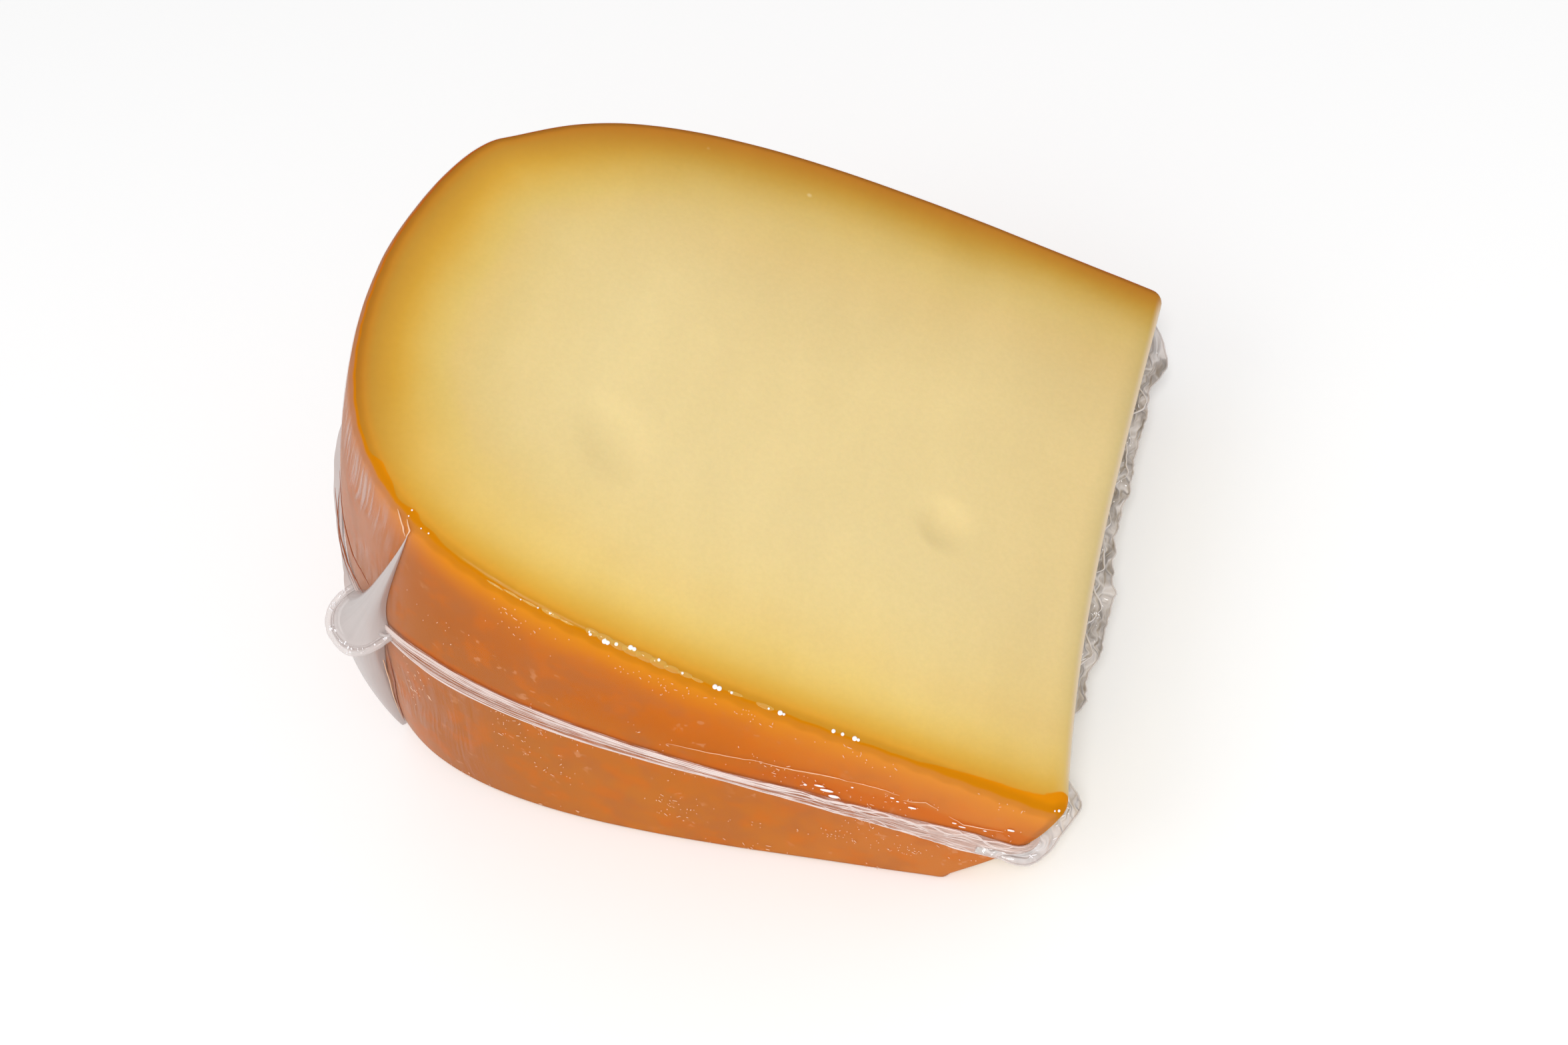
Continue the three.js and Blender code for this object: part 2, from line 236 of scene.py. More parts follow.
def on_upper_edge(distance, bend, above=0.0):
    """Places on the rounding of the upper cut edge: bend is 0 at its border on the face and 1 on the side."""
    turn = np.asarray(bend) * 0.5 * math.pi
    radius = EDGE_ROUNDING + above
    x, y, out_x, out_y = section_at(distance, 1.0)
    out = radius * np.sin(turn) - EDGE_ROUNDING
    drop = EDGE_ROUNDING - radius * np.cos(turn)
    x = x + out * out_x
    return turned(x, y + out * out_y, WEDGE_ANGLE - np.arcsin(drop / x))


def seam_angle(distance):
    """Angle of the film's seam above the lower cut face."""
    x = section_at(distance, SEAM_SHARE_AT_END)[0]
    share = np.interp(x, (NARROW_END, FRONT_FLAT), (SEAM_SHARE_AT_END, SEAM_SHARE_AT_RIM))
    return WEDGE_ANGLE * share


def from_table(table, distance, column=1):
    """A column's value at a distance round the outline, which is a table's first column."""
    return np.interp(distance, [row[0] for row in table], [row[column] for row in table])


def seam_reach(distance):
    """How far the seam stands out and half its height, at a distance round the outline."""
    start = SEAM[0][0]
    whole = SEAM + ((start + SECTION_LENGTH, *SEAM[0][1:]),)
    here = np.mod(np.asarray(distance, float) - start, SECTION_LENGTH) + start
    return from_table(whole, here, 1), from_table(whole, here, 2)


def ease(value, low, high):
    """Smoothly from 0 to 1 as a value goes from low to high."""
    t = np.clip((value - low) / (high - low), 0, 1)
    return t * t * (3 - 2 * t)


def waves(places, size, seed, count=14):
    """Smooth repeatable unevenness from -1 to 1 at places of any number of dimensions."""
    places = np.asarray(places, float)
    draw = np.random.RandomState(seed)
    total = 0
    for _ in range(count):
        way = draw.normal(size=places.shape[-1])
        way *= draw.uniform(0.6, 1.5) * 2 * math.pi / size / np.linalg.norm(way)
        total = total + np.sin(places @ way + draw.uniform(0, 2 * math.pi))
    return total / (1.4 * math.sqrt(count))


def line_waves(values, size, seed):
    return waves(np.asarray(values, float)[..., None], size, seed, 9)


def paired(a, b):
    """Two arrays spread to one shape and set side by side on a last axis."""
    return np.stack(np.broadcast_arrays(a, b), -1)


def wedge_surface(round_points, cap_steps, rounding_steps, side_steps):
    """Rows of places all over the wedge, from the lower face's hub to the upper's.

    Gives their x, y and angle, their share of the wedge's angle and their distance round the outline.
    """
    distance = np.linspace(0, SECTION_LENGTH, round_points, endpoint=False) - FRONT_CORNER
    rows = []

    def add(share, height, inset, towards_hub):
        x, y, out_x, out_y = section_at(distance, share)
        x = x - inset * out_x
        y = y - inset * out_y
        x = x + towards_hub * (HUB[0] - x)
        y = y + towards_hub * (HUB[1] - y)
        edge = np.arcsin(height / x)
        angle = edge + share * (WEDGE_ANGLE - 2 * edge)
        rows.append((x, y, angle, np.full_like(x, share)))

    rings = np.linspace(0, 1, cap_steps + 1)[1:] ** RING_SPACING * LAST_RING
    bends = np.linspace(0, 0.5 * math.pi, rounding_steps + 1)[:-1]
    face = [(0.0, EDGE_ROUNDING, ring) for ring in rings[::-1]]
    face += [(EDGE_ROUNDING * (1 - math.cos(b)), EDGE_ROUNDING * (1 - math.sin(b)), 0.0) for b in bends]
    for row in face:
        add(0.0, *row)
    for step in range(side_steps + 1):
        add(step / side_steps, EDGE_ROUNDING, 0.0, 0.0)
    for row in face[::-1]:
        add(1.0, *row)
    x, y, angle, share = (np.array(part) for part in zip(*rows))
    return x, y, angle, share, np.broadcast_to(distance, x.shape)


# ---------------------------------------------------------------- meshes


def make_object(name, places, faces, values=None, uv=None, smooth=True):
    """A mesh object at the origin from places in millimetres, with named values at its points."""
    mesh = bpy.data.meshes.new(name)
    corners = [list(map(int, face)) for face in faces]
    mesh.from_pydata((np.asarray(places, float) * MM).tolist(), [], corners)
    for key, numbers in (values or {}).items():
        attribute = mesh.attributes.new(key, "FLOAT", "POINT")
        attribute.data.foreach_set("value", np.asarray(numbers, np.float32).ravel())
    if uv is not None:
        layer = mesh.uv_layers.new(name="along_across")
        corner = np.empty(len(mesh.loops), np.int32)
        mesh.loops.foreach_get("vertex_index", corner)
        layer.data.foreach_set("uv", np.asarray(uv, np.float32).reshape(-1, 2)[corner].ravel())
    mesh.update()
    if smooth:
        mesh.shade_smooth()
    piece = bpy.data.objects.new(name, mesh)
    bpy.context.scene.collection.objects.link(piece)
    return piece


def grid_faces(rows, columns, closed=False):
    """Quads between rows of places; closed joins each row's end to its start."""
    last = columns if closed else columns - 1
    row, column = np.meshgrid(np.arange(rows - 1), np.arange(last), indexing="ij")
    following = (column + 1) % columns
    a = row * columns + column
    b = row * columns + following
    quads = np.stack([a, b, b + columns, a + columns], -1)
    return quads.reshape(-1, 4)


def make_sheet(name, places, weave, values=None):
    """An open sheet through rows of places, with their way along and across it as its UV map."""
    rows, columns = places.shape[:2]
    return make_object(name, places.reshape(-1, 3), grid_faces(rows, columns), values, weave)


def closed_wedge(name, places, values):
    """One closed mesh from the rows of wedge_surface, with a fan over each pole."""
    rows, columns = places.shape[:2]
    faces = [tuple(quad) for quad in grid_faces(rows, columns, closed=True)]
    first = rows * columns
    last = first + 1
    for i in range(columns):
        following = (i + 1) % columns
        faces.append((first, following, i))
        faces.append((last, (rows - 1) * columns + i, (rows - 1) * columns + following))
    flat = places.reshape(-1, 3)
    poles = np.stack([places[0].mean(0), places[-1].mean(0)])
    whole = {}
    for key, numbers in values.items():
        ends = (numbers[0].mean(), numbers[-1].mean())
        whole[key] = np.concatenate([numbers.ravel(), ends])
    return make_object(name, np.concatenate([flat, poles]), faces, whole)


def facing_out(piece):
    """Turns a closed mesh's faces outwards where its volume comes out negative."""
    mesh = piece.data
    mesh.calc_loop_triangles()
    places = np.empty(len(mesh.vertices) * 3)
    mesh.vertices.foreach_get("co", places)
    places = places.reshape(-1, 3)
    corners = np.empty(len(mesh.loop_triangles) * 3, np.int32)
    mesh.loop_triangles.foreach_get("vertices", corners)
    a, b, c = (places[corners.reshape(-1, 3)[:, i]] for i in range(3))
    if np.einsum("ij,ij->", a, np.cross(b, c)) < 0:
        mesh.flip_normals()
    return piece


def surface_normals(places):
    """Outward normals of the rows of wedge_surface."""
    along = np.roll(places, -1, 1) - np.roll(places, 1, 1)
    across = np.gradient(places, axis=0)
    normal = np.cross(along, across)
    normal /= np.linalg.norm(normal, axis=-1, keepdims=True)
    middle = places.reshape(-1, 3).mean(0)
    side = np.sign(np.einsum("ijk,ijk->ij", normal, places - middle))
    return side[..., None] * normal


def settled(piece):
    """Turns a piece's evaluated modifiers into its plain mesh and removes them."""
    graph = bpy.context.evaluated_depsgraph_get()
    mesh = bpy.data.meshes.new_from_object(piece.evaluated_get(graph), depsgraph=graph)
    piece.modifiers.clear()
    piece.data = mesh
    return piece


def make_lines(name, lines, values):
    """Polylines as a mesh of edges, each line an array of places in millimetres."""
    places = np.concatenate(lines)
    edges = []
    start = 0
    for line in lines:
        edges += [(start + i, start + i + 1) for i in range(len(line) - 1)]
        start += len(line)
    mesh = bpy.data.meshes.new(name)
    mesh.from_pydata((places * MM).tolist(), edges, [])
    for key, numbers in values.items():
        flat = np.asarray(numbers, np.float32)
        kind = "FLOAT" if flat.ndim == 1 else "FLOAT_VECTOR"
        attribute = mesh.attributes.new(key, kind, "POINT")
        attribute.data.foreach_set("value" if kind == "FLOAT" else "vector", flat.ravel())
    piece = bpy.data.objects.new(name, mesh)
    bpy.context.scene.collection.objects.link(piece)
    return piece


# ---------------------------------------------------------------- node trees


class Value:
    """A node's output that can be used in arithmetic."""

    def __init__(self, nodes, socket):
        self.nodes = nodes
        self.socket = socket

    def maths(self, operation, *values):
        return self.nodes.take("ShaderNodeMath", {"operation": operation}, dict(enumerate(values)))

    def __add__(self, other):
        return self.maths("ADD", self, other)

    def __sub__(self, other):
        return self.maths("SUBTRACT", self, other)

    def __rsub__(self, other):
        return self.maths("SUBTRACT", other, self)

    def __mul__(self, other):
        return self.maths("MULTIPLY", self, other)

    def __truediv__(self, other):
        return self.maths("DIVIDE", self, other)

    def __rtruediv__(self, other):
        return self.maths("DIVIDE", other, self)

    __radd__ = __add__
    __rmul__ = __mul__

    def largest(self, other):
        return self.maths("MAXIMUM", self, other)

    def least(self, other):
        return self.maths("MINIMUM", self, other)

    def eased(self, low, high, start=0.0, end=1.0):
        """Smoothly from start to end as the value goes from low to high."""
        settings = {"interpolation_type": "SMOOTHSTEP"}
        inputs = {"Value": self, "From Min": low, "From Max": high, "To Min": start, "To Max": end}
        return self.nodes.take("ShaderNodeMapRange", settings, inputs)


class Nodes:
    """Makes the nodes of one tree."""

    def __init__(self, tree):
        self.tree = tree
        tree.nodes.clear()

    def make(self, kind, settings=None, inputs=None):
        """A node of a kind: its settings first, then the values or links of its sockets."""
        node = self.tree.nodes.new(kind)
        for name, value in (settings or {}).items():
            if name == "stops":
                self.set_stops(node.color_ramp, value)
            else:
                setattr(node, name, value)
        for name, value in (inputs or {}).items():
            if isinstance(value, Value):
                self.tree.links.new(value.socket, node.inputs[name])
            else:
                node.inputs[name].default_value = value
        return node

    def take(self, kind, settings=None, inputs=None, output=0):
        """One output of a new node."""
        return Value(self, self.make(kind, settings, inputs).outputs[output])

    def set_stops(self, ramp, stops):
        while len(ramp.elements) > 1:
            ramp.elements.remove(ramp.elements[-1])
        for index, (place, colour) in enumerate(stops):
            element = ramp.elements[0] if index == 0 else ramp.elements.new(place)
            element.position = place
            element.color = (*colour, 1)

    def ramp(self, value, stops):
        return self.take("ShaderNodeValToRGB", {"stops": stops}, {"Fac": value}, "Color")

    def blend(self, share, a, b, mode="MIX"):
        """Two colours mixed by a share."""
        settings = {"data_type": "RGBA", "blend_type": mode}
        node = self.make("ShaderNodeMix", settings, {0: share})
        for index, colour in ((6, a), (7, b)):
            if isinstance(colour, Value):
                self.tree.links.new(colour.socket, node.inputs[index])
            else:
                node.inputs[index].default_value = (*colour, 1)
        return Value(self, node.outputs[2])

    def noise(self, place, size, detail=3.0, roughness=0.5):
        """Soft noise about size millimetres across, from 0 to 1."""
        inputs = {"Vector": place, "Scale": 1 / size, "Detail": detail, "Roughness": roughness}
        return self.take("ShaderNodeTexNoise", {}, inputs)

    def attribute(self, name):
        return self.take("ShaderNodeAttribute", {"attribute_name": name}, {}, "Fac")

    def object_millimetres(self):
        """Object coordinates in millimetres."""
        return self.scaled(self.take("ShaderNodeTexCoord", {}, {}, "Object"), 1 / MM)

    def weave(self):
        """Millimetres along and across a sheet of film."""
        return self.take("ShaderNodeUVMap", {"uv_map": "along_across"}, {}, "UV")

    def together(self, x, y, z=0.0):
        return self.take("ShaderNodeCombineXYZ", {}, {0: x, 1: y, 2: z})

    def first_of(self, vector):
        return self.take("ShaderNodeSeparateXYZ", {}, {"Vector": vector}, "X")

    def vectors(self, operation, a, b):
        return self.take("ShaderNodeVectorMath", {"operation": operation}, {0: a, 1: b})

    def scaled(self, vector, factor):
        return self.take("ShaderNodeVectorMath", {"operation": "SCALE"}, {0: vector, "Scale": factor})

    def stretched(self, place, scale):
        return self.vectors("MULTIPLY", place, scale)

    def voronoi(self, feature, inputs, output="Distance"):
        return self.take("ShaderNodeTexVoronoi", {"feature": feature}, inputs, output)

    def body(self, tint, roughness, specular, more=None):
        """The shader of something that isn't clear, with more of its sockets by name."""
        tint = tint if isinstance(tint, Value) else (*tint, 1)
        inputs = {"Base Color": tint, "Roughness": roughness, "Specular IOR Level": specular, **(more or {})}
        return self.take("ShaderNodeBsdfPrincipled", {}, inputs)

    def see_through(self, tint=(0.97, 0.96, 0.96)):
        """The shader of what lies behind a clear film."""
        return self.take("ShaderNodeBsdfTransparent", {}, {"Color": (*tint, 1)})

    def mixed(self, share, a, b):
        return self.take("ShaderNodeMixShader", {}, {0: share, 1: a, 2: b})

    def bump(self, height, strength, distance):
        """Surface relief; distance is the height in millimetres that a value of 1 stands for."""
        inputs = {"Height": height, "Strength": strength, "Distance": distance * MM}
        return self.take("ShaderNodeBump", {}, inputs)

    def show(self, surface):
        self.make("ShaderNodeOutputMaterial", {}, {"Surface": surface})


class Shaper(Nodes):
    """A Geometry Nodes tree with named inputs that ends in Realize Instances and Set Material."""

    def __init__(self, name, sizes):
        group = bpy.data.node_groups.new(name, "GeometryNodeTree")
        super().__init__(group)
        group.interface.new_socket("Geometry", in_out="INPUT", socket_type="NodeSocketGeometry")
        group.interface.new_socket("Geometry", in_out="OUTPUT", socket_type="NodeSocketGeometry")
        for key, value in sizes.items():
            kind = "NodeSocketInt" if isinstance(value, int) else "NodeSocketFloat"
            group.interface.new_socket(key, in_out="INPUT", socket_type=kind).default_value = value
        self.inlet = self.make("NodeGroupInput")
        self.start = self.size("Geometry")

    def size(self, name):
        return Value(self, self.inlet.outputs[name])

    def read(self, name, kind="FLOAT"):
        return self.take("GeometryNodeInputNamedAttribute", {"data_type": kind}, {"Name": name}, "Attribute")

    def scatter(self, size, seed, detail=2.0):
        """A vector of soft noise from -0.5 to 0.5, about size metres across."""
        inputs = {"Scale": 1 / size, "Detail": detail, "W": seed}
        colour = self.take("ShaderNodeTexNoise", {"noise_dimensions": "4D"}, inputs, "Color")
        return self.vectors("SUBTRACT", colour, (0.5, 0.5, 0.5))

    def finish(self, geometry, material):
        smooth = self.take("GeometryNodeSetShadeSmooth", {}, {"Geometry": geometry})
        whole = self.take("GeometryNodeRealizeInstances", {}, {"Geometry": smooth})
        dressed = self.take("GeometryNodeSetMaterial", {}, {"Geometry": whole, "Material": material})
        self.make("NodeGroupOutput", {}, {"Geometry": dressed})
        return self.tree


def shaped(piece, tree, sizes):
    """Runs a tree on a piece, with its named inputs set by their identifiers."""
    modifier = piece.modifiers.new(tree.name, "NODES")
    modifier.node_group = tree
    for item in tree.interface.items_tree:
        if item.item_type == "SOCKET" and item.in_out == "INPUT" and item.name in sizes:
            modifier[item.identifier] = sizes[item.name]
    return settled(piece)


def strand_tree(name, material):
    """Tubes along a piece's lines, as thick as their thick value, with soft lumps."""
    shaper = Shaper(name, {"Unevenness": 0.3, "Lump size": 0.002, "Sides": 8, "Seed": 3})
    curve = shaper.take("GeometryNodeMeshToCurve", {}, {"Mesh": shaper.start})
    lumps = shaper.take("ShaderNodeTexNoise", {"noise_dimensions": "4D"}, {
        "Scale": 1.0 / shaper.size("Lump size"), "Detail": 2.0, "W": shaper.size("Seed"),
    })
    radius = shaper.read("thick") * (1.0 + (lumps - 0.5) * shaper.size("Unevenness") * 2.0)
    inputs = {"Resolution": shaper.size("Sides"), "Radius": 1.0}
    ring = shaper.take("GeometryNodeCurvePrimitiveCircle", {}, inputs)
    inputs = {"Curve": curve, "Profile Curve": ring, "Scale": radius, "Fill Caps": True}
    tube = shaper.take("GeometryNodeCurveToMesh", {}, inputs)
    return shaper.finish(tube, material)


def crumple_tree(name, material):
    """Crumples a sheet into long soft folds, where its free value lets it move."""
    shaper = Shaper(name, {
        "Fold height": 0.002, "Fold length": 6.0, "Fold width": 2.5, "Sway": 0.001, "Seed": 5.0,
    })
    along = shaper.read("along") / shaper.size("Fold length")
    across = shaper.read("across") / shaper.size("Fold width")
    place = shaper.together(along, across, shaper.size("Seed"))
    folds = shaper.voronoi("SMOOTH_F1", {"Vector": place, "Scale": 1.0, "Smoothness": 0.5})
    free = shaper.read("free")
    outwards = shaper.take("GeometryNodeInputNormal")
    folded = shaper.scaled(outwards, (folds - 0.6) * shaper.size("Fold height") * free)
    swayed = shaper.scaled(shaper.scatter(0.012, shaper.size("Seed"), 1.0), shaper.size("Sway") * free)
    inputs = {"Geometry": shaper.start, "Offset": shaper.vectors("ADD", folded, swayed)}
    return shaper.finish(shaper.take("GeometryNodeSetPosition", {}, inputs), material)


def drop_tree(name, material):
    """A soft lump at each point, with its own size and turn."""
    shaper = Shaper(name, {"Unevenness": 0.0004, "Lump size": 0.002, "Roundness": 3, "Seed": 2.0})
    inputs = {"Radius": 1.0, "Subdivisions": shaper.size("Roundness")}
    ball = shaper.take("GeometryNodeMeshIcoSphere", {}, inputs)
    inputs = {"Points": shaper.start, "Instance": ball, "Rotation": shaper.read("turn", "FLOAT_VECTOR"),
              "Scale": shaper.read("size", "FLOAT_VECTOR")}
    placed = shaper.take("GeometryNodeInstanceOnPoints", {}, inputs)
    whole = shaper.take("GeometryNodeRealizeInstances", {}, {"Geometry": placed})
    scatter = shaper.scatter(shaper.size("Lump size"), shaper.size("Seed"))
    offset = shaper.scaled(scatter, shaper.size("Unevenness"))
    moved = shaper.take("GeometryNodeSetPosition", {}, {"Geometry": whole, "Offset": offset})
    return shaper.finish(moved, material)


def srgb(red, green, blue):
    """A colour given in 0 to 255 display values, as linear light."""
    def channel(value):
        value /= 255
        return value / 12.92 if value <= 0.04045 else ((value + 0.055) / 1.055) ** 2.4
    return channel(red), channel(green), channel(blue)


def new_material(name):
    material = bpy.data.materials.new(name)
    material.use_nodes = True
    return material, Nodes(material.node_tree)


# ---------------------------------------------------------------- materials

# Colours of the paste by its distance from the rind, on the face's front, at its back and at the rim, and of
# the rind by its distance below the cut face, lighter near it with a painted glow
PASTE_SPAN = 50.0
FRONT_PASTE = (
    (0.0, (216, 149, 34)), (2, (218, 157, 51)), (3.5, (219, 169, 67)), (5, (222, 179, 81)),
    (7, (226, 190, 101)), (9, (229, 197, 114)), (11.5, (231, 202, 126)), (15, (231, 203, 133)),
    (20, (232, 207, 142)), (27, (232, 209, 149)), (36, (232, 210, 153)), (50, (232, 210, 153)),
)
BACK_PASTE = (
    (0.0, (184, 111, 35)), (2, (186, 119, 41)), (3.5, (188, 127, 45)), (5, (190, 135, 50)),
    (7, (195, 147, 60)), (9, (199, 158, 73)), (11.5, (206, 170, 90)), (15, (213, 182, 108)),
    (20, (218, 190, 122)), (27, (222, 194, 131)), (36, (223, 198, 139)), (50, (228, 204, 146)),
)
RIM_PASTE = (
    (0.0, (186, 119, 35)), (2, (193, 129, 41)), (3.5, (193, 143, 54)), (5, (201, 151, 57)),
    (7, (209, 161, 62)), (9, (215, 171, 75)), (11.5, (218, 181, 92)), (15, (220, 190, 110)),
    (18, (222, 193, 123)), (22, (223, 198, 133)), (27, (227, 203, 142)), (40, (232, 211, 154)),
)
RIND_SPAN = 44.0
RIND = (
    (0.0, (221, 137, 20)), (1.5, (220, 137, 25)), (4, (218, 132, 27)), (8, (210, 117, 27)),
    (13, (201, 107, 25)), (19, (194, 103, 28)), (26, (192, 108, 36)), (44, (194, 116, 46)),
)


def coloured(nodes, value, colours, span):
    """A colour from a table of values, up to span, and colours."""
    return nodes.ramp(value / span, [(place / span, srgb(*colour)) for place, colour in colours])


def cheese_material():
    material, nodes = new_material("cheese_paste_and_rind")
    place = nodes.object_millimetres()
    depth = nodes.attribute("depth")
    back = nodes.attribute("back")
    broad = nodes.noise(place, 26, 3)
    middle = nodes.noise(place, 6, 3)
    fine = nodes.noise(place, 0.9, 4, 0.65)
    paste = paste_colour(nodes, place, depth, back, (broad, middle, fine))
    rind = rind_colour(nodes, place, back, (broad, middle))

    # The cut through the rind itself, seen in the cut face as an amber line of uneven width
    edge = nodes.attribute("edge")
    thickness = nodes.attribute("rind_thickness")
    uneven = (middle - 0.5) * 0.35 * thickness + (fine - 0.5) * 0.12
    amber = nodes.blend(back, srgb(221, 137, 8), srgb(208, 94, 26))
    inner = nodes.blend((edge - thickness - uneven).eased(-0.1, 0.22), amber, paste)
    colour = nodes.blend(edge.eased(-0.55, 0.1), rind, inner)
    # Painted shade on the rounded cut edge: its middle is darkened to tone down the light it catches
    colour = nodes.scaled(colour, (edge * edge).eased(0, 6, 0.77, 1.0))

    relief = fine * 0.2 + nodes.noise(place, 3.2, 3) * 0.8
    nodes.show(nodes.body(colour, fine.eased(0.2, 0.8, 0.42, 0.55), 0.0, {
        "Normal": nodes.bump(relief, 0.3, 0.1),
        "Subsurface Weight": 0.12,
        "Subsurface Radius": (1.0, 0.45, 0.15),
        "Subsurface Scale": 0.002,
    }))
    return material


def paste_colour(nodes, place, depth, back, uneven):
    """The paste: golden near the rind, straw yellow inside, with duller edges, and painted shade and a
    painted pale highlight along the narrow end's edge.
    """
    broad, middle, fine = uneven
    wander = (broad - 0.5) * 5.0 + (middle - 0.5) * 1.6
    ripened = (depth + wander * depth.eased(2, 14)).largest(0)
    front_paste, back_paste, rim_paste = (
        coloured(nodes, ripened, colours, PASTE_SPAN) for colours in (FRONT_PASTE, BACK_PASTE, RIM_PASTE)
    )
    paste = nodes.blend(back, front_paste, back_paste)
    paste = nodes.blend(nodes.attribute("rim"), paste, rim_paste)

    # Faint cloudiness, fine grain and a few pale crystals
    cloud = nodes.noise(nodes.stretched(place, (1, 0.35, 1)), 9, 2).eased(0.35, 0.75, 0.985, 1.012)
    paste = nodes.scaled(paste, cloud * fine.eased(0.2, 0.8, 0.975, 1.02))
    crystals = nodes.voronoi("F1", {"Vector": place, "Scale": 1 / 9.0}).eased(0.03, 0.075, 1, 0)
    crystals = crystals * depth.eased(9, 18, 0.4, 0.0) * middle.eased(0.5, 0.56)
    paste = nodes.blend(crystals, paste, srgb(240, 222, 170))

    # The narrow end's edge: painted shade, soft and greenish, then a painted highlight as a pale line on the
    # rounding
    end = nodes.attribute("end")
    duller = end.eased(1, 34, 1, 0) * (1.0 - back * 0.5)
    paste = nodes.blend(duller, paste, (0.93, 0.9, 0.865), "MULTIPLY")
    shade = end.eased(-0.4, 0.7) * end.eased(1.0, 5.4, 1, 0) * depth.eased(3, 22, 0.0, 1)
    paste = nodes.blend(shade * 0.8, paste, (0.86, 0.88, 0.86), "MULTIPLY")
    # Painted shade near the front corner, where the edge shade above fades: a dull beige edge tone
    corner = end.eased(0.5, 4.0, 0.8, 0) * depth.eased(0.6, 4) * depth.eased(9, 24, 1, 0) * (1.0 - back)
    paste = nodes.blend(corner, paste, srgb(217, 188, 118))
    # Painted highlight: a pale strip along the narrow end's rounding
    rounding_highlight = end.eased(-0.9, 1.9, 0.9, 0) * end.eased(-2.3, -1.5) * depth.eased(1.5, 8)
    return nodes.blend(rounding_highlight, paste, srgb(232, 212, 188))


def rind_colour(nodes, place, back, uneven):
    """The rind: a painted glow near the cut edge, deeper below, with pale scuffs and warm blotches, and a
    pale tint on the rim for the film's haze with painted glare.
    """
    broad, middle = uneven
    drop = nodes.attribute("drop")
    lowered = (drop + (middle - 0.5) * 3.0 + (broad - 0.5) * 4.0).largest(0)
    low = drop.eased(3, 14)
    scuffs = nodes.noise(place, 2.2, 2).eased(0.62, 0.7, 0, 0.5) * low
    # Lighter near the cut edge: a painted glow of light through the rind
    rind = coloured(nodes, lowered, RIND, RIND_SPAN)
    for share, tint in (
        (back * 0.55, (168, 92, 34)),
        (nodes.attribute("near_end") * 0.24, (226, 150, 96)),
        (nodes.attribute("dull") * 0.7, (168, 101, 55)),
        # The film's haze together with painted glare over the rim, as a pale pinkish tint
        (nodes.attribute("haze_and_glare_tint") * 0.8, (199, 136, 101)),
        (nodes.noise(place, 14, 4, 0.6).eased(0.44, 0.62, 0, 0.55) * low, (178, 106, 56)),
        (nodes.noise(place, 5.5, 4, 0.6).eased(0.46, 0.66, 0, 0.4) * low, (212, 110, 24)),
        (scuffs * nodes.noise(place, 12, 2).eased(0.46, 0.6), (214, 150, 104)),
        (nodes.attribute("wet") * 0.5, (204, 98, 18)),
    ):
        rind = nodes.blend(share, rind, srgb(*tint))
    return rind


def clear_film_material():
    """Tight film: clear and glossy, with pale streaks where it stands off the cheese, which are its haze
    together with painted glare.
    """
    material, nodes = new_material("tight_clear_film")
    place = nodes.object_millimetres()
    loose = nodes.attribute("loose")
    wander = (nodes.noise(place, 30, 1) - 0.5) * 8.0
    streak_place = nodes.together(nodes.attribute("round_way") + wander, nodes.attribute("height") * 0.05)
    streaks = nodes.noise(streak_place, 0.9, 3, 0.65) * 0.8 + nodes.noise(streak_place, 3.5, 1) * 0.2
    bump = nodes.bump(nodes.noise(place, 2.2, 3) * 0.25 + streaks * loose, 0.5, 0.25)
    gloss = nodes.take("ShaderNodeBsdfGlossy", {}, {"Color": (1, 1, 1, 1), "Roughness": 0.09, "Normal": bump})
    mirror = nodes.take("ShaderNodeFresnel", {}, {"IOR": 1.28, "Normal": bump}) * 0.16
    sheet = nodes.mixed(mirror, nodes.see_through((1, 1, 1)), gloss)
    # The milky body shows the stand-off film's haze together with painted glare streaks
    milky = nodes.body(srgb(222, 200, 192), 0.3, 0.6, {"Normal": bump})
    patches = nodes.noise(place, 15, 2).eased(0.42, 0.6, 0.1, 1.0)
    haze_and_glare = (streaks.eased(0.42, 0.64, -0.06, 0.36) * patches + 0.17) * loose
    nodes.show(nodes.mixed(haze_and_glare, sheet, milky))
    return material


def gathered_film_material(name, tint, clearness, streak_size, relief=1.0, denser_end=0.0):
    """Gathered or welded film: milky with lengthwise streaks and bright wet-looking gloss."""
    material, nodes = new_material(name)
    weave = nodes.weave()
    streaks = nodes.noise(nodes.stretched(weave, (0.07, 1, 1)), streak_size, 4, 0.65)
    lumps = nodes.noise(nodes.object_millimetres(), 1.6, 3)
    bump = nodes.bump(streaks * 0.8 + lumps * 0.5, 0.6, 0.2 * relief)
    spread = 0.25 * relief
    milky = streaks.eased(0.3, 0.7, 1 - clearness - spread, 1 - clearness + spread)
    milky = milky + nodes.first_of(weave).eased(10, 36, denser_end, 0)
    body = nodes.body(tint, 0.16, 0.6, {"Normal": bump})
    nodes.show(nodes.mixed(milky.largest(0.05).least(0.97), nodes.see_through(), body))
    return material


def droplet_material():
    """Clear wet pockets under the film, tinted by the paste below them."""
    material, nodes = new_material("clear_pockets")
    body = nodes.body(srgb(248, 216, 118), 0.06, 0.7)
    nodes.show(nodes.mixed(0.26, nodes.see_through(srgb(255, 250, 225)), body))
    return material


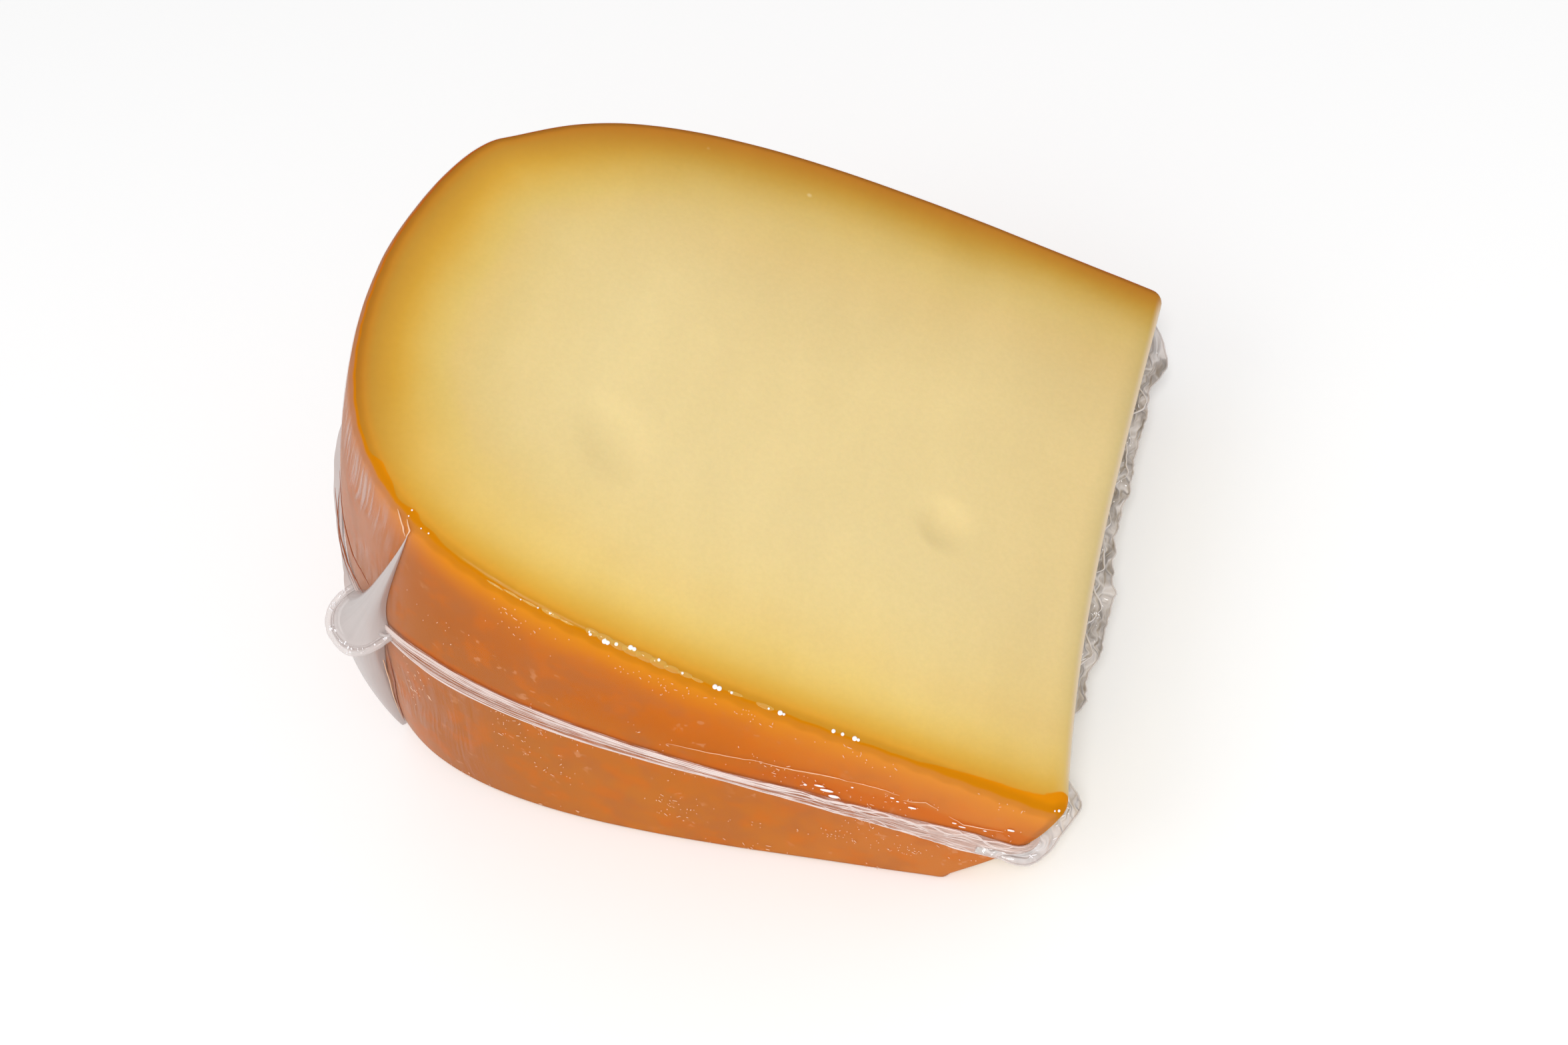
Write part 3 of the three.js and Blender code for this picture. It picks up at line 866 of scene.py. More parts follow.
def crumpled_film_material():
    """Loose crumpled film: long lens-shaped folds, some pale, some taupe, painted light and shade, with
    painted highlights as bright creases round them.
    """
    material, nodes = new_material("crumpled_film")
    weave = nodes.weave()
    bend = nodes.take("ShaderNodeTexNoise", {}, {"Vector": weave, "Scale": 0.3, "Detail": 1.0}, "Color")
    bent = nodes.vectors("ADD", weave, nodes.stretched(bend, (2, 5, 0)))
    folds = {"Vector": nodes.stretched(bent, (1 / 4.6, 1 / 1.5, 1.0)), "Scale": 1.0, "Randomness": 1.0}
    to_crease = nodes.voronoi("DISTANCE_TO_EDGE", folds)
    tone = nodes.first_of(nodes.voronoi("F1", folds, "Color"))
    broad = nodes.noise(nodes.stretched(bent, (1 / 6.0, 1 / 2.4, 1.0)), 1.0, 1.0, 0.4)
    shine = nodes.noise(nodes.stretched(bent, (1 / 2.4, 1 / 0.7, 1.0)), 1.0, 1.0, 0.4)
    lobe = nodes.attribute("along").eased(-20, -13)
    # Painted light and shade of the folds: pale and taupe tones, paler on the front lobe
    fold_light_and_shade = tone * 0.5 + broad.eased(0.38, 0.62, 0, 0.6) + shine.eased(0.5, 0.66, 0, 0.3) - 0.12
    fold_light_and_shade = (fold_light_and_shade + lobe * 0.7).largest(0).least(1)
    tint = nodes.blend(fold_light_and_shade, srgb(152, 142, 132), srgb(220, 213, 210))
    # Painted highlights: bright lines along the fold creases
    crease = to_crease.eased(0.0, 0.13, 1, 0) * broad.eased(0.42, 0.6, 0.25, 1)
    tint = nodes.blend(crease * 0.75, tint, srgb(236, 231, 229))
    bump = nodes.bump(to_crease.eased(0, 0.4) * -1.0 + shine * 0.6 + broad, 0.7, 0.7)
    body = nodes.body(tint, 0.14, 0.8, {"Normal": bump})
    nodes.show(nodes.mixed(lobe * 0.2 + 0.74, nodes.see_through(), body))
    return material


def bright_film_material(name, tint, roughness=0.12):
    """One glossy tint, for bubbles, painted glints, creases, painted fold shade and crumbs, which are too
    small to show more.
    """
    material, nodes = new_material(name)
    nodes.show(nodes.body(tint, roughness, 0.8))
    return material


def floor_material():
    material, nodes = new_material("pale_floor")
    nodes.show(nodes.body((0.97, 0.97, 0.97), 0.7, 0.2))
    return material


# ---------------------------------------------------------------- the cheese


# How thick the rind shows in the cut face, by the distance round the outline
RIND_THICKNESS = (
    (-6, 3.4), (1.5, 3.4), (4.4, 2.7), (8, 2.3), (12, 2.3), (16, 1.9), (20, 1.5), (26, 0.5), (34, 0.35),
    (60, 0.3), (90, 0.4), (105, 0.45), (108.2, 1.2), (110.5, 0.9), (112.6, 2.0), (114.6, 0.8),
    (116.6, 0.7), (118.8, 1.7), (121.6, 2.2), (123.2, 2.0), (125.2, 0.7), (130, 0.5), (140, 0.45),
    (280, 0.45), (300, 0.7), (320, 0.9),
)

# How far above the seam the film clings wet to the rind, by the distance round the outline
WET_TOP = (
    (0, 3.0), (5, 4.2), (11, 2.8), (15, 3.4), (20, 4.8), (23, 4.6), (30, 4.7), (41, 5.2), (48, 3.0),
    (56, 1.5), (63, 0.7), (100, 0.7), (112, 1.2), (118, 0.2),
)


def rind_depth(x, y):
    """Distance of places in the section from the rind, in millimetres."""
    rind_x, rind_y, _, _ = section_at(np.linspace(0, RIND_LENGTH - BACK_CORNER_ROUNDING, 260), 1.0)
    return np.array([
        np.hypot(row_x[:, None] - rind_x, row_y[:, None] - rind_y).min(1) for row_x, row_y in zip(x, y)
    ])


def dimple_depth(x, y):
    total = np.zeros_like(x)
    for dimple in DIMPLES:
        away_x = dimple["spot"][0] - x
        away_y = y - dimple["spot"][1]
        turn = dimple["turn"]
        across = (away_x * math.cos(turn) + away_y * math.sin(turn)) / (dimple["across"] / 2)
        along = (away_y * math.cos(turn) - away_x * math.sin(turn)) / (dimple["length"] / 2)
        round_hole = np.clip(1 - across ** 2 - along ** 2, 0, 1)
        total += dimple["depth"] * round_hole ** 1.5
    return total


def make_cheese(material):
    x, y, angle, share, distance = wedge_surface(*CHEESE_STEPS)
    places = turned(x, y, angle)
    normals = surface_normals(places)

    below_upper = x * (WEDGE_ANGLE - angle)
    on_rind = (distance > 0) & (distance < RIND_LENGTH)
    depth = rind_depth(x, y)
    to_corner = np.clip(np.minimum(distance, RIND_LENGTH - distance), 0, None)
    outside = np.minimum(np.minimum(below_upper, x * angle), to_corner)
    thickness = from_table(RIND_THICKNESS, np.mod(distance + 20, SECTION_LENGTH) - 20)
    towards_back = ease(y, -45, 45)
    narrower = (0.12 + 0.18 * (1 - ease(x, 92, 104))) * (1 - ease(x, 140, 165)) * towards_back
    past_end = np.where(share > 0.5, x - NARROW_END - end_hollow(y) - below_upper, 50.0)
    above_seam = x * (angle - seam_angle(distance)) - seam_reach(distance)[1]
    wet_top = from_table(WET_TOP, distance)
    wet = ease(above_seam, -0.5, 0.3) * (1 - ease(above_seam, wet_top - 0.5, wet_top + 0.4)) * on_rind
    values = dict(
        depth=depth * (1 + narrower),
        drop=below_upper,
        edge=np.where(on_rind, depth - outside, depth),
        rind_thickness=thickness,
        back=towards_back,
        rim=ease(x, 128, 174) * (1 - ease(np.abs(y), 22, 50)),
        end=past_end,
        wet=wet,
        dull=ease(distance, 62, 112) * ease(below_upper, 2, 12),
        near_end=1 - ease(distance, 12, 60),
        # A pale tint on the rim's rind for the film's haze together with painted glare
        haze_and_glare_tint=ease(distance, 103, 126) * (1 - ease(distance, 196, 222)),
    )

    uneven = np.clip(0.16 * waves(places, 34, 3) + 0.05 * waves(places, 9, 4), -0.2, 0.2)
    on_face = (share == 1.0) * ease(angle, WEDGE_ANGLE - 1e-3, WEDGE_ANGLE - 1e-4)
    sunk = FILM_GAP + 0.4 * uneven + dimple_depth(x, y) * on_face
    piece = facing_out(closed_wedge("cheese_block", places - normals * sunk[..., None], values))
    piece.data.materials.append(material)
    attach(piece, "root")
    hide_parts("cheese")


def make_film_skin(material):
    """The tight film all over the cheese, standing off a little towards its seam."""
    x, y, angle, share, distance = wedge_surface(*SKIN_STEPS)
    places = turned(x, y, angle)
    normals = surface_normals(places)
    seam = seam_angle(distance)
    away = x * np.abs(angle - seam)
    span = x * np.where(angle > seam, WEDGE_ANGLE - seam, seam)
    t = np.clip(away / span, 0, 1)
    bulge = 4 * t * (1 - t) * span ** 2 / (8 * WHEEL_RADIUS)
    tent = np.clip(0.9 * (1 - t) ** 1.6 - 0.4 * bulge, 0, None)
    loose = ease(distance, 108, 124) * (1 - ease(distance, 200, 222))
    near_seam = np.exp(-away / 2.2) * np.minimum(seam_reach(distance)[0], 1.5) * 0.35
    stand = (loose * tent + (1 - loose) * near_seam) * (share > 0) * (share < 1)
    ripple = 0.08 * waves(np.stack([distance, away * 0.15], -1), 3.0, 9) * np.exp(-away / 6)
    out = stand + np.clip(ripple, 0, None) * (stand > 0.01)
    on_side = ease(np.minimum(x * angle, x * (WEDGE_ANGLE - angle)), 0.5, 5)
    # Painted glare: a milky veil over the tight film on the rim below the seam
    rim_glare = 0.4 * ease(distance, 86, 118) * (1 - ease(distance, 205, 225)) * (angle < seam) * (1 - loose)
    loose = np.clip(loose * 0.9 + stand * 0.3 + rim_glare, 0, 1) * on_side
    values = dict(loose=loose, round_way=distance, height=x * angle)
    piece = facing_out(closed_wedge("film_skin", places + normals * out[..., None], values))
    dress_film(piece, material, in_seam=False)


# ---------------------------------------------------------------- the film's seam


def dress_film(piece, material, in_seam=True):
    """Finishes a piece of film, which stands for the seam's solid where it is a part of the seam."""
    piece.data.materials.clear()
    piece.data.materials.append(material)
    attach(piece, "root")
    if in_seam:
        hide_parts("film_seam")


def make_strands(name, lines, thick, material, unevenness, lump_size, sides=8, in_seam=True):
    """Strands along lines of places, with the thickness at each place in millimetres."""
    piece = make_lines(name, lines, {"thick": np.concatenate(thick) * MM})
    sizes = {"Unevenness": unevenness, "Lump size": lump_size, "Sides": sides}
    shaped(piece, strand_tree(name + "_tubes", material), sizes)
    dress_film(piece, material, in_seam)


def make_drops(name, places, turn, size, material, unevenness, roundness, in_seam=False, lump_size=0.001):
    """Soft lumps at places, each with its own turn and half its sizes in millimetres."""
    piece = make_lines(name, places[:, None], {"turn": turn, "size": size * MM})
    sizes = {"Unevenness": unevenness, "Lump size": lump_size, "Roundness": roundness}
    shaped(piece, drop_tree(name + "_drops", material), sizes)
    dress_film(piece, material, in_seam)


def crown(v):
    """A gathered band's rounded height across it, for v from -1 to 1."""
    return np.sqrt(np.clip(1 - v ** 4, 0, 1))


def make_seam_band(material):
    """The welded strip of the seam, pressed flat on the front, the rim and the back."""
    distance = np.linspace(-2.0, 326.0, 660)[:, None]
    v = np.linspace(-1, 1, 17)[None, :]
    reach, half = seam_reach(distance)
    x = section_at(distance, SEAM_SHARE_AT_RIM)[0]
    crumple = waves(paired(distance, 3 * v), 4, 22)
    height = crown(v) * (0.3 + 0.2 * reach + 0.12 * crumple)
    angle = seam_angle(distance) + v * half / x
    places = beside(np.broadcast_to(distance, angle.shape), angle, 0.04 + np.clip(height, 0.01, None))
    dress_film(make_sheet("seam_band", places, paired(distance, v * half)), material)


def make_seam_ridges(material):
    """Fine gathered strands that run along the seam band."""
    distance = np.arange(-1.0, 324.0, 0.7)
    reach, half = seam_reach(distance)
    x = section_at(distance, SEAM_SHARE_AT_RIM)[0]
    twist = 0.35 * (1 - ease(distance, 25, 55))
    fade = ease(distance, -1, 3) * (1 - ease(distance, 318, 324))
    lines, thick = [], []
    for index, (place, thickness, wander) in enumerate(RIDGES):
        v = place + wander * line_waves(distance, 45, 40 + index)
        v = np.clip(v + twist * line_waves(distance, 11, 60 + index), -1, 1)
        lines.append(beside(distance, seam_angle(distance) + v * half / x, 0.3 + 0.2 * reach * crown(v)))
        thick.append(thickness * (1 + 0.35 * line_waves(distance, 14, 80 + index)) * fade)
    make_strands("seam_ridges", lines, thick, material, 0.35, 0.0016)


def make_rim_flange(material):
    """The seam round the rim, which stands out between the two ears as a thin clear lip."""
    distance = np.linspace(FRONT_EAR["middle"] + 3, BACK_EAR["middle"] - 3, 240)[:, None]
    t = np.linspace(0, 1, 11)[None, :]
    x = section_at(distance, SEAM_SHARE_AT_RIM)[0]
    out = SEAM_GAP + t * (seam_reach(distance)[0] * (1 + 0.06 * line_waves(distance, 9, 31)))
    angle = seam_angle(distance) + 0.35 * t * line_waves(distance, 12, 32) / x
    places = beside(np.broadcast_to(distance, angle.shape), angle, out)
    dress_film(make_sheet("rim_flange", places, paired(distance, out)), material)


def lobe_edge(ear, turn):
    """Distance round the outline and reach of a lobe's edge, for a turn from 0 to pi round it."""
    side = np.sign(np.cos(turn)) * np.abs(np.cos(turn)) ** LOBE_SQUARENESS
    return ear["middle"] + ear["half"] * side, ear["reach"] * np.abs(np.sin(turn)) ** LOBE_SQUARENESS


def lobe_place(ear, distance, out, lift=0.0):
    """A place on the lobe's sheet, which hangs towards its outer edge."""
    x = section_at(distance, SEAM_SHARE_AT_RIM)[0]
    hang = ear["droop"] * (np.clip(out, 0, None) / ear["reach"]) ** DROOP_BEND
    return beside(distance, seam_angle(distance) + (lift - hang) / x, SEAM_GAP + out)


def make_ear_web(name, ear, tip, flare, seed, material):
    """Film that flares from a tip at the cut edge down, or up, into the whole lobe of an ear."""
    t = np.concatenate([np.linspace(0, 0.8, 45, endpoint=False), np.linspace(0.8, 1, 45)])[:, None]
    turn = np.linspace(0, math.pi, 64)[None, :]
    spread = flare["width"] * (flare["straight"] * t ** flare["bend"] + (1 - flare["straight"]) * t ** 9)
    edge_distance, edge_out = lobe_edge(ear, turn)
    tip_distance, tip_share = tip
    crease = 1 + 0.025 * waves(paired(2 * turn, 0.8 * t), 1.2, seed) * t * (1 - t) * 4
    middle = tip_distance + (ear["middle"] - tip_distance) * t ** flare["path"]
    distance = middle + (edge_distance - ear["middle"]) * spread
    out = SEAM_GAP + flare["lift"] * (1 - t) * np.sin(turn) + edge_out * spread * crease
    hang = ear["droop"] * (edge_out / ear["reach"]) ** DROOP_BEND * spread
    tip_angle = tip_share * WEDGE_ANGLE
    angle = tip_angle + (seam_angle(distance) - tip_angle) * t
    angle = np.clip(angle - hang / section_at(distance, SEAM_SHARE_AT_RIM)[0], 0.001, None)
    weave = paired(t * 30, turn * ear["half"])
    dress_film(make_sheet(name, beside(distance, angle, out), weave), material)


# Welts inside an ear's rolled edge: share of the lobe's size, thickness
WELTS = ((0.86, 0.17), (0.77, 0.13), (0.68, 0.1))


def make_ear_beads(name, ear, material):
    """The rolled edge of an ear with a curl at its end, and the fine welts inside it."""
    turn = np.linspace(0.02, math.pi, 90)
    distance, out = lobe_edge(ear, turn)
    curl = np.linspace(0, 1.5 * math.pi, 30)
    curl_distance = distance[-1] + 1.3 * (1 - np.cos(curl))
    lines = [
        lobe_place(ear, distance, out - 0.6),
        lobe_place(ear, curl_distance, 1.3 * np.sin(curl) + 0.4, 0.5 + 0.5 * np.sin(curl)),
    ]
    thick = [np.full(len(turn), 0.62), np.full(len(curl), 0.32)]
    wave = 1 + 0.04 * line_waves(turn, 0.9, 17)
    for share, thickness in WELTS:
        welt_distance = ear["middle"] + (distance - ear["middle"]) * share * wave
        lines.append(lobe_place(ear, welt_distance, np.clip(out * share * wave - 0.1, 0, None), 0.4))
        thick.append(np.full(len(turn), thickness))
    make_strands(name, lines, thick, material, 0.3, 0.0012, sides=14)


def make_ear_bubbles(name, ear, seed, material):
    """Small air bubbles caught in the rolled edge of an ear."""
    draw = np.random.RandomState(seed)
    distance, out = lobe_edge(ear, np.sort(draw.uniform(0.25, math.pi - 0.1, EAR_BUBBLES)))
    inward = draw.uniform(0.15, 1.5, EAR_BUBBLES)
    lift = draw.uniform(0.35, 0.7, EAR_BUBBLES)
    places = lobe_place(ear, distance, np.clip(out - inward, 0.2, None), lift)
    size = draw.uniform(0.08, 0.2, (EAR_BUBBLES, 3)) * (1.8, 1.0, 1.0)
    turn = draw.uniform(0, math.pi, (EAR_BUBBLES, 3))
    make_drops(name, places, turn, size, material, 0.0001, 2, in_seam=True)


# ---------------------------------------------------------------- the fringe along the narrow end


# How far the fringe stands out, by the distance round the outline
FRINGE = (
    (-114.4, 3.4), (-112.6, 6.8), (-110.8, 8.6), (-109.1, 9.3), (-107.6, 10.3), (-105.0, 10.5), (-102.2, 9.8),
    (-99.8, 8.7), (-97.7, 8.4), (-93.9, 8.6), (-90.2, 9.1), (-84.4, 9.1), (-66.5, 9.1), (-63.9, 8.5),
    (-61.8, 9.4), (-57.3, 10.0), (-53.8, 10.0), (-50.0, 10.7), (-45.6, 11.0), (-42.2, 10.6), (-38.7, 10.0),
    (-35.1, 8.9), (-33.4, 8.5), (-31.6, 9.1), (-30.0, 9.2), (-27.6, 8.1), (-25.4, 6.2), (-22.0, 5.0),
    (-18.4, 4.7), (-16.2, 5.4), (-14.6, 6.7), (-12.6, 8.0), (-10.9, 8.4), (-9.3, 7.9), (-6.0, 6.1),
    (-3.2, 4.7), (-1.4, 3.7), (0.6, 3.3), (3.5, 2.2), (8, 1.6),
)
# How far out its two strands run, and how thick these and its welded edge are
FRINGE_STRANDS = (0.36, 0.7)
FRINGE_THREAD = 0.19


def fringe_edge(distance):
    scallops = 0.02 * line_waves(distance, 5, 51) + 0.012 * line_waves(distance, 2.6, 52)
    loose = ease(distance, -102, -92) * (1 - 0.6 * ease(distance, -20, -12))
    return from_table(FRINGE, distance) * (1 + scallops * loose)


def fringe_lift(distance):
    """How far the fringe's outer edge waves up and down."""
    return 0.7 * line_waves(distance, 16, 61) + 0.15 * line_waves(distance, 6, 62)


def fringe_way_out(distance, t):
    """How far out a place on the fringe is, from 0 at its root to 1 at its outer edge."""
    return 0.1 + t * (fringe_edge(distance) - 0.3)


def fringe_place(distance, t, side=1):
    """A place on the fringe's upper (1) or lower (-1) sheet."""
    x = section_at(distance, SEAM_SHARE_AT_END)[0]
    root = 2.2 - 1.3 * ease(distance, -18, -6)
    apart = side * root * (1 - t) ** 1.4 + fringe_lift(distance) * t
    return beside(distance, seam_angle(distance) + apart / x, fringe_way_out(distance, t))


def make_end_fringe(name, side, seed, material):
    """One of the two sheets of the crumpled fringe along the narrow end and round its corners."""
    distance = np.linspace(FRINGE[0][0], FRINGE[-1][0], 420)[:, None]
    t = np.linspace(0, 1, 20)[None, :]
    weave = paired(distance, fringe_way_out(distance, t))
    crumpled = ease(distance, -108, -94) * (1 - 0.7 * ease(distance, -22, -12))
    free = np.sin(t * math.pi) * (1 - 0.5 * t) * crumpled
    values = {"free": free, "along": weave[..., 0], "across": weave[..., 1]}
    piece = make_sheet(name, fringe_place(distance, t, side), weave, values)
    sizes = {"Fold height": 0.0009, "Fold length": 6.0, "Fold width": 2.6, "Sway": 0.0004, "Seed": seed}
    shaped(piece, crumple_tree(name + "_crumples", material), sizes)
    dress_film(piece, material)


def make_fringe_bead(material):
    """The welded outer edge of the fringe."""
    distance = np.arange(FRINGE[0][0] + 0.5, 5, 0.5)
    x = section_at(distance, SEAM_SHARE_AT_END)[0]
    angle = seam_angle(distance) + fringe_lift(distance) / x
    line = beside(distance, angle, np.clip(fringe_edge(distance) - 0.25, 0.4, None))
    make_strands("fringe_bead", [line], [np.full(len(line), FRINGE_THREAD)], material, 0.15, 0.003)


def make_fringe_strands(material):
    """Gathered strands that wander and cross along the fringe, with lens-shaped folds between them."""
    distance = np.arange(-106.0, -24.0, 0.4)
    x = section_at(distance, SEAM_SHARE_AT_END)[0]
    fade = ease(distance, -104, -96) * (1 - ease(distance, -33, -25))
    lines, thick = [], []
    for index, share in enumerate(FRINGE_STRANDS):
        t = share + 0.2 * line_waves(distance, 13, 70 + index) + 0.03 * line_waves(distance, 5, 80 + index)
        t = np.clip(t, 0.06, 0.95)
        above = 2.0 * (1 - t) ** 1.4 * (1 - 0.5 * ease(distance, -18, -6)) + 0.3 + fringe_lift(distance) * t
        lines.append(beside(distance, seam_angle(distance) + above / x, fringe_way_out(distance, t)))
        swell = np.clip(0.7 + 0.5 * line_waves(distance, 7, 90 + index), 0.3, 1)
        thick.append(FRINGE_THREAD * swell * fade)
    make_strands("fringe_strands", lines, thick, material, 0.2, 0.002)


# ---------------------------------------------------------------- small marks


# Small pockets of air and whey under the film on the front cut edge: distance round the outline, place on the
# rounding from 0 on the face to 1 on the side, length and width
EDGE_POCKETS = (
    (95.6, 0.54, 3.0, 0.35), (92.6, 0.5, 3.2, 0.4), (89.6, 0.48, 3.0, 0.4), (86.0, 0.43, 3.4, 0.7),
    (83.4, 0.45, 2.6, 0.35), (79.2, 0.36, 2.2, 1.1), (77.0, 0.38, 2.8, 1.3), (74.8, 0.4, 3.0, 1.3),
    (72.6, 0.4, 3.2, 1.4), (70.3, 0.4, 3.2, 1.4), (68.0, 0.42, 3.0, 1.4), (65.8, 0.44, 2.6, 1.1),
    (63.6, 0.43, 2.4, 0.8), (61.6, 0.46, 2.0, 0.5), (55.4, 0.41, 2.6, 0.6), (50.4, 0.46, 3.0, 0.8),
)
# Painted highlight dots on the front cut edge, as tiny white drops where the film catches the light:
# distance, place on the rounding, radius
EDGE_HIGHLIGHT_DOTS = (
    (91.1, 0.5, 0.12), (88.2, 0.46, 0.14), (86.2, 0.43, 0.16), (79.3, 0.47, 0.24), (79.6, 0.4, 0.16),
    (76.9, 0.48, 0.42), (76.4, 0.48, 0.36), (75.1, 0.39, 0.32), (72.9, 0.29, 0.4), (72.3, 0.29, 0.34),
    (68.2, 0.3, 0.26), (64.1, 0.42, 0.2), (58.7, 0.44, 0.4), (58.0, 0.44, 0.4), (56.0, 0.42, 0.22),
    (49.8, 0.48, 0.18), (47.9, 0.48, 0.4), (47.3, 0.48, 0.22), (39.2, 0.42, 0.33), (37.7, 0.41, 0.28),
    (35.7, 0.41, 0.4), (35.1, 0.41, 0.26), (1.7, 0.43, 0.14), (0.7, 0.46, 0.22), (113.1, 0.25, 0.15),
    (112.8, 0.5, 0.12), (110.0, 0.5, 0.12), (108.6, 0.44, 0.14),
)
# Painted glints of the film on the rind, as small white drops: distance round the outline, angle above the
# lower face, length, radius
FILM_GLINTS = (
    (37.2, 16.4, 1.6, 0.22), (35.7, 15.9, 2.2, 0.3), (34.2, 15.1, 1.8, 0.35), (39.5, 15.9, 0.6, 0.2),
    (32.0, 17.9, 0.4, 0.16), (25.3, 18.1, 0.7, 0.16), (24.2, 17.7, 0.5, 0.14), (21.5, 17.2, 1.4, 0.2),
    (12.5, 16.0, 1.2, 0.14), (14.0, 16.4, 0.8, 0.14), (5.8, 18.7, 1.2, 0.22), (9.0, 16.6, 0.6, 0.12),
)
# Creases of the film on the rind: thickness, then places as distance round the
# outline, angle above the lower face and how far out
PALE_CREASES = (
    (0.07, ((62.7, 16.1, 0.1), (56.2, 16.6, 0.1), (50.6, 17.2, 0.1), (47.1, 17.8, 0.1))),
    (0.1, ((47.6, 17.6, 0.1), (43.1, 17.8, 0.1), (40.0, 18.2, 0.1), (36, 18.7, 0.1), (33.3, 18.8, 0.1))),
    (0.06, ((34, 18.7, 0.1), (30, 19.1, 0.1), (27.3, 19.2, 0.1), (24.5, 19.0, 0.1))),
    (0.07, ((23.5, 18.2, 0.1), (21.6, 18.6, 0.1), (20.2, 19.2, 0.1), (17.6, 18.4, 0.1))),
    (0.08, ((15.5, 17.6, 0.1), (12.5, 16.6, 0.1), (9.5, 17.0, 0.1), (6.5, 17.6, 0.1))),
    (0.12, ((118.6, 11.0, 0.5), (117.9, 9.0, 0.5), (118.2, 6.8, 0.4), (120.6, 3.1, 0.3), (122.2, 1.0, 0.2))),
    (0.15, ((111.8, 24.6, 0.3), (112.6, 25.2, 0.3), (114.6, 26.0, 0.1))),
    (0.13, ((111.6, 24.6, 0.3), (111.2, 25.4, 0.3), (112.4, 26.0, 0.1))),
)
# Painted shade: dark strands where shadow lies along the film's folds and along the root of the rim's flange
FOLD_SHADOW_LINES = (
    (0.12, ((160, 13.9, 1.1), (150, 13.9, 1.0), (140, 13.9, 0.9), (130, 14.0, 0.8), (124.5, 14.2, 0.7))),
    (0.16, ((116.2, 11.6, 0.1), (116.2, 9.7, 0.1), (116.7, 7.3, 0.1), (118.6, 5, 0.1), (120.4, 2.6, 0.1),
            (121.8, 0.9, 0.1))),
    (0.13, ((130.5, 20.5, 1.6), (127.7, 17.6, 1.5), (124.4, 16.2, 1.4), (121.6, 15.9, 1.3),
            (119.7, 15.6, 1.2))),
    (0.11, ((129.5, 22.5, 1.4), (126.4, 19.8, 1.4), (122.6, 18.0, 1.3), (119.3, 17.6, 1.2),
            (117.2, 17.0, 1.0))),
)


def laid_flat(surface, distance, across, step, way, spins):
    """Places on a surface and the turns that lay things flat there, spun about its normal.

    The surface gives places for a distance and a place across; a step across goes up (1) or down (-1).
    """
    places = surface(distance, across)
    turns = []
    ahead = surface(distance + AHEAD, across) - places
    rise = way * (surface(distance, across + step) - places)
    for along, up, spin in zip(ahead, rise, spins):
        along = Vector(along).normalized()
        out = along.cross(Vector(up)).normalized()
        flat = Matrix((along, out.cross(along), out)).transposed()
        turns.append((flat @ Matrix.Rotation(spin, 3, "Z")).to_euler()[:])
    return places, np.array(turns)


def make_edge_pockets(material):
    distance, bend, length, width = np.array(EDGE_POCKETS).T
    level = np.zeros(len(distance))
    places, turn = laid_flat(lambda s, b: on_upper_edge(s, b, -0.05), distance, bend, 0.1, -1, level)
    size = np.stack([length / 2, width / 2, width * 0.25], -1)
    make_drops("edge_pockets", places, turn, size, material, 0.0003, 3, lump_size=0.0012)


def make_edge_highlight_dots(material):
    distance, bend, radius = np.array(EDGE_HIGHLIGHT_DOTS).T
    places = on_upper_edge(distance, bend, 0.08)
    size = np.repeat(radius[:, None], 3, 1)
    make_drops("edge_bubbles", places, np.zeros(places.shape), size, material, 0.00005, 3)


def make_film_glints(material):
    distance, degrees, length, radius = np.array(FILM_GLINTS).T
    places = beside(distance, np.radians(degrees), np.full(len(distance), 0.15))
    turn = np.tile((0, 0.15, 0), (len(distance), 1))
    size = np.stack([length / 2, radius * 0.6, radius], -1)
    make_drops("film_glints", places, turn, size, material, 0.00005, 3)


def make_fringe_glints(material):
    """Painted glints: small white drops where the crumpled fringe catches the light."""
    draw = np.random.RandomState(21)
    distance = np.concatenate([draw.uniform(-112, -24, 44), draw.uniform(-16, 2, 16)])
    count = len(distance)
    t = draw.uniform(0.3, 0.9, count)
    places, turn = laid_flat(fringe_place, distance, t, -0.05, 1, draw.normal(0.3, 0.4, count))
    length = 0.12 + 0.5 * draw.uniform(0, 1, count) ** 3
    size = np.stack([length, draw.uniform(0.05, 0.14, count), np.full(count, 0.1)], -1)
    make_drops("fringe_glints", places + (0, 0, 0.25), turn, size, material, 0.00005, 2)


def make_rind_marks(material):
    """Pale scratches and crumbs on the rind, in loose groups, mostly low down on the front."""
    draw = np.random.RandomState(12)
    tries = 4200
    spots = np.stack([draw.uniform(4, 112, tries), draw.uniform(1, 25, tries)], -1)
    crowd = 0.8 * waves(spots * (1, 3.0), 26, 33) + 0.4 * waves(spots * (1, 3.0), 12, 34)
    off_seam = np.abs(spots[:, 1] - np.degrees(seam_angle(spots[:, 0]))) * 2.6 > seam_reach(spots[:, 0])[1]
    distance, degrees = spots[(crowd > draw.uniform(0.0, 1.2, tries)) & off_seam].T
    count = len(distance)
    spin = draw.normal(0.9, 0.8, count)
    places, turn = laid_flat(
        lambda s, angle: beside(s, angle, 0.02), distance, np.radians(degrees), 0.004, 1, spin)
    length = 0.09 + 0.5 * draw.uniform(0, 1, count) ** 4
    size = np.stack([length, draw.uniform(0.05, 0.1, count), np.full(count, 0.05)], -1)
    make_drops("rind_marks", places, turn, size, material, 0.00005, 1)


